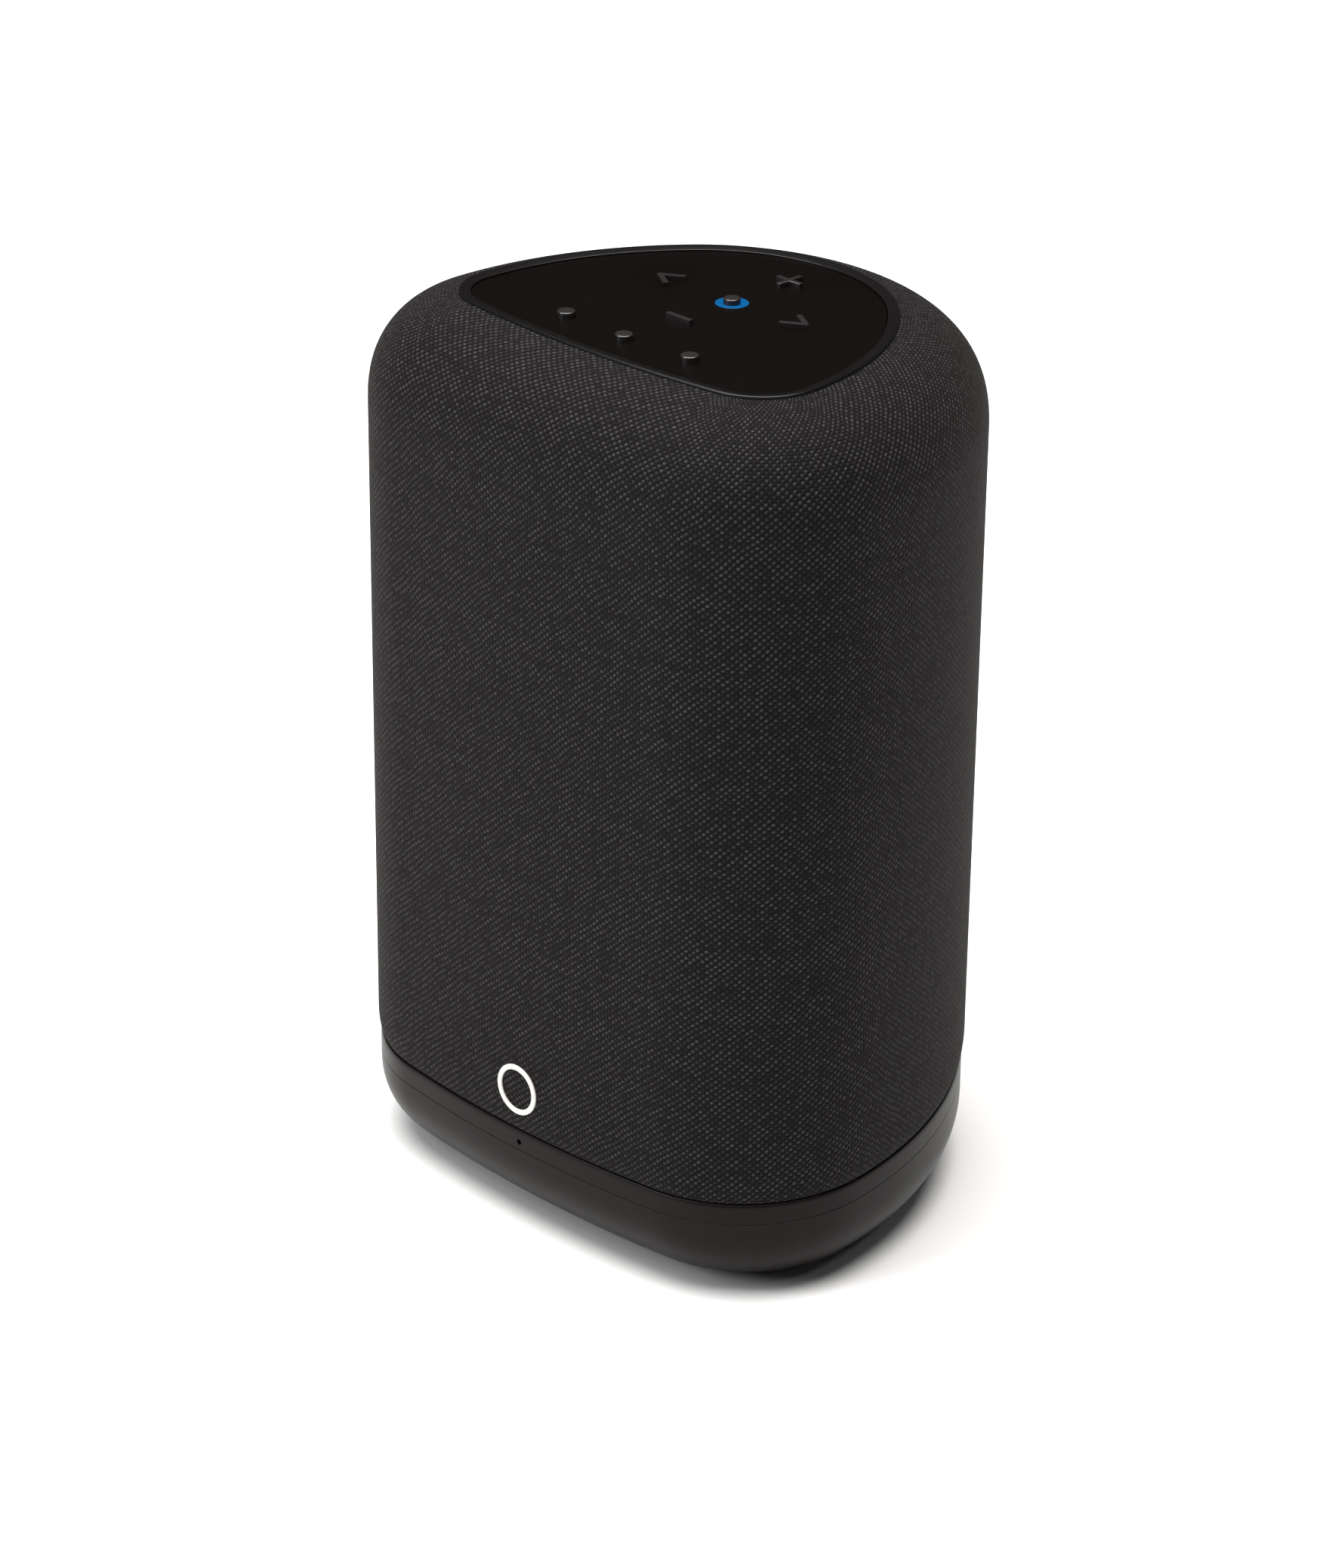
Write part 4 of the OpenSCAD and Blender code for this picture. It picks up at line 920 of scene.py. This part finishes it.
# the back: panel, sockets and their contacts
def buildContactTree():
    # a row of bent spring contacts
    tree = bpy.data.node_groups.new("springContacts", "GeometryNodeTree")
    for name, kind in (("Count", "NodeSocketInt"), ("Start", "NodeSocketVector"),
                       ("Pitch", "NodeSocketVector"), ("Wire Width", "NodeSocketFloat"),
                       ("Foot", "NodeSocketVector"), ("Knee", "NodeSocketVector"),
                       ("Tip", "NodeSocketVector"), ("Finish", "NodeSocketMaterial")):
        tree.interface.new_socket(name=name, in_out="INPUT", socket_type=kind)
    tree.interface.new_socket(name="Geometry", in_out="OUTPUT", socket_type="NodeSocketGeometry")
    given = addNode(tree, "NodeGroupInput").outputs
    bend = addNode(tree, "GeometryNodeCurvePrimitiveBezierSegment",
                   {"Resolution": 7, "Start": given["Foot"], "Start Handle": given["Knee"],
                    "End Handle": given["Knee"], "End": given["Tip"]}).outputs[0]
    section = addNode(tree, "GeometryNodeCurvePrimitiveCircle",
                      {"Resolution": 6, "Radius": calc(tree, "DIVIDE", given["Wire Width"], 2.0)},
                      mode="RADIUS").outputs[0]
    wire = addNode(tree, "GeometryNodeCurveToMesh",
                   {"Curve": bend, "Profile Curve": section, "Fill Caps": True}).outputs[0]
    line = addNode(tree, "GeometryNodeMeshLine",
                   {"Count": given["Count"], "Start Location": given["Start"], "Offset": given["Pitch"]},
                   mode="OFFSET").outputs[0]
    row = addNode(tree, "GeometryNodeInstanceOnPoints", {"Points": line, "Instance": wire}).outputs[0]
    real = addNode(tree, "GeometryNodeRealizeInstances", {"Geometry": row}).outputs[0]
    smooth = addNode(tree, "GeometryNodeSetShadeSmooth", {"Geometry": real}).outputs[0]
    done = addNode(tree, "GeometryNodeSetMaterial",
                   {"Geometry": smooth, "Material": given["Finish"]}).outputs[0]
    tree.links.new(done, addNode(tree, "NodeGroupOutput").inputs[0])
    return tree


contacts = {
    "networkCount": 8,
    "networkPitch": 1.02 * mm,
    "networkWire": 0.42 * mm,
    "networkDrop": 3.8 * mm,   # below the socket's top
    "usbCount": 4,
    "usbPitch": 2.3 * mm,
    "usbWire": 0.9 * mm,
    "usbDrop": 0.3 * mm,       # below the socket's middle
}


def makeContacts(gold):
    tree = buildContactTree()
    low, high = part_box("network_socket")
    middle, mouth = (low.x + high.x) / 2, high.y
    half = (contacts["networkCount"] - 1) * contacts["networkPitch"] / 2
    network = makeWith(tree, "networkContacts", {
        "Count": contacts["networkCount"], "Start": (middle - half, mouth, high.z - contacts["networkDrop"]),
        "Pitch": (contacts["networkPitch"], 0, 0), "Wire Width": contacts["networkWire"],
        "Foot": (0, -2.2 * mm, 0), "Knee": (0, -6.5 * mm, -0.2 * mm), "Tip": (0, -10.5 * mm, -3.2 * mm),
        "Finish": gold})
    low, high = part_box("usb_socket")
    middle, mouth = (low.x + high.x) / 2, high.y
    half = (contacts["usbCount"] - 1) * contacts["usbPitch"] / 2
    usb = makeWith(tree, "usbContacts", {
        "Count": contacts["usbCount"],
        "Start": (middle - half, mouth, (low.z + high.z) / 2 - contacts["usbDrop"]),
        "Pitch": (contacts["usbPitch"], 0, 0), "Wire Width": contacts["usbWire"],
        "Foot": (0, -2.6 * mm, 0.1 * mm), "Knee": (0, -6 * mm, -0.15 * mm), "Tip": (0, -10.5 * mm, 0.05 * mm),
        "Finish": gold})
    for piece, node in ((network, "network_socket"), (usb, "usb_socket")):
        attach(piece, "housing")


def makeBack():
    black = mouldedPlastic("panelPlastic", (0.011, 0.0105, 0.0102), 0.42, 0.25, 0.02)
    softened("rear_panel", "rearPanel", black, "housing", 0.35 * mm)
    softened("mains_inlet", "mainsInlet",
             mouldedPlastic("inletPlastic", (0.008, 0.008, 0.008), 0.3, 0.2, 0.008), "housing", 0.25 * mm)
    softened("network_socket", "networkSocket", mouldedPlastic("socketPlastic", (0.02, 0.02, 0.021), 0.35),
             "housing", 0.15 * mm)
    softened("usb_socket", "usbSocket", metalFinish("socketShell", (0.62, 0.62, 0.6), 0.28), "housing",
             0.1 * mm)
    softened("aux_socket", "audioSocket", mouldedPlastic("jackPlastic", (0.014, 0.014, 0.014), 0.28),
             "housing", 0.18 * mm)
    softened("connect_button", "connectButton", mouldedPlastic("buttonPlastic", (0.09, 0.09, 0.092), 0.38),
             "connect_button", 0.3 * mm)
    softened("inlet_pins", "inletPins", metalFinish("pinNickel", (0.72, 0.7, 0.66), 0.22), "housing",
             0.35 * mm)
    makeContacts(metalFinish("contactGold", (0.83, 0.6, 0.25), 0.25))


# finishes for what stays as the CAD made it
def dressInside():
    zinc = metalFinish("screwZinc", (0.42, 0.42, 0.42), 0.34)
    dark = mouldedPlastic("innerPlastic", (0.012, 0.012, 0.0125), 0.5, 0.4, 0.03)
    board = circuitBoard("boardGreen")
    foam = rubberFinish("sealFoam", (0.012, 0.012, 0.012), 0.92, 0.9)
    steel = metalFinish("magnetSteel", (0.36, 0.36, 0.38), 0.38)
    choices = {
        "base_screws": zinc, "lid_screws": zinc, "woofer_screws": zinc, "tweeter_screws": zinc,
        "rear_panel_screws": metalFinish("screwBlack", (0.06, 0.06, 0.06), 0.4),
        "chassis_plate": mouldedPlastic("chassisPlastic", (0.035, 0.035, 0.036), 0.5, 0.5, 0.03),
        "grille_frame": dark, "shoulder_frame": dark, "keypad_carrier": dark,
        "cabinet": mouldedPlastic("cabinetPlastic", (0.014, 0.014, 0.015), 0.48, 0.6, 0.04),
        "cabinet_lid": mouldedPlastic("lidPlastic", (0.016, 0.016, 0.017), 0.46, 0.6, 0.04),
        "cabinet_seal": foam, "woofer_gasket": foam,
        "woofer_basket": mouldedPlastic("basketPaint", (0.022, 0.022, 0.024), 0.36, 0.3, 0.01, 0.5, 0.2),
        "woofer_magnet": metalFinish("ferrite", (0.16, 0.16, 0.17), 0.5), "tweeter_magnet": steel,
        "woofer_spider": pressedCone("spiderCloth", (0.42, 0.27, 0.1)),
        "woofer_surround": rubberFinish("surroundRubber", (0.012, 0.012, 0.012), 0.5, 1.2),
        "woofer_cone": pressedCone("paperCone", (0.07, 0.068, 0.062)),
        "dust_cap": pressedCone("dustCapCloth", (0.02, 0.02, 0.02)),
        "voice_coil": metalFinish("coilCopper", (0.7, 0.32, 0.16), 0.3, (1, 12, 1), 0.03),
        "tweeter_plate": mouldedPlastic("tweeterPlastic", (0.016, 0.016, 0.016), 0.42),
        "tweeter_dome": pressedCone("domeSilk", (0.016, 0.016, 0.018)),
        "keypad_board": board, "microphone_board": dark, "antenna_boards": board, "main_board": board,
        "power_board": circuitBoard("powerBoardGreen", (0.02, 0.06, 0.02)), "connector_board": board,
        "key_switches": metalFinish("switchCan", (0.5, 0.5, 0.48), 0.35),
        "ring_leds": mouldedPlastic("ledLens", (0.55, 0.56, 0.5), 0.25, 0.2, 0.002),
        "keypad_cable": mouldedPlastic("ribbonFilm", (0.5, 0.2, 0.03), 0.35, 0.5, 0.01),
        "shield_can": metalFinish("shieldTin", (0.66, 0.66, 0.63), 0.3),
        "heat_sink": metalFinish("sinkAnodised", (0.05, 0.05, 0.052), 0.42, (1, 1, 0.1)),
        "power_parts": mouldedPlastic("partsResin", (0.06, 0.045, 0.02), 0.4),
        "speaker_wires": rubberFinish("wireSleeve", (0.14, 0.02, 0.015), 0.45, 2.0),
    }
    for name, material in choices.items():
        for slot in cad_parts[name].material_slots:
            slot.material = material


print("camera and studio")
placeCamera()
lightStudio()
layFloor()
print("woven cover")
clothPiece = makeCover()
print("base")
makeBase(mouldedPlastic("trayPlastic", (0.0066, 0.0048, 0.0041), 0.36, 0.28, 0.006, 0.12),
         mouldedPlastic("collarPlastic", (0.0055, 0.0042, 0.0037), 0.36, 0.28, 0.006, 0.12),
         rubberFinish("footRubber", (0.02, 0.02, 0.02)))
print("rim, keypad and badge")
makeRim(mouldedPlastic("rimPlastic", (0.0030, 0.0026, 0.0024), 0.3, 0.2, 0.004, 0.3))
makeKeypad()
makeBadge()
print("back")
makeBack()
print("inner parts")
dressInside()
bpy.data.objects.remove(planCloud)
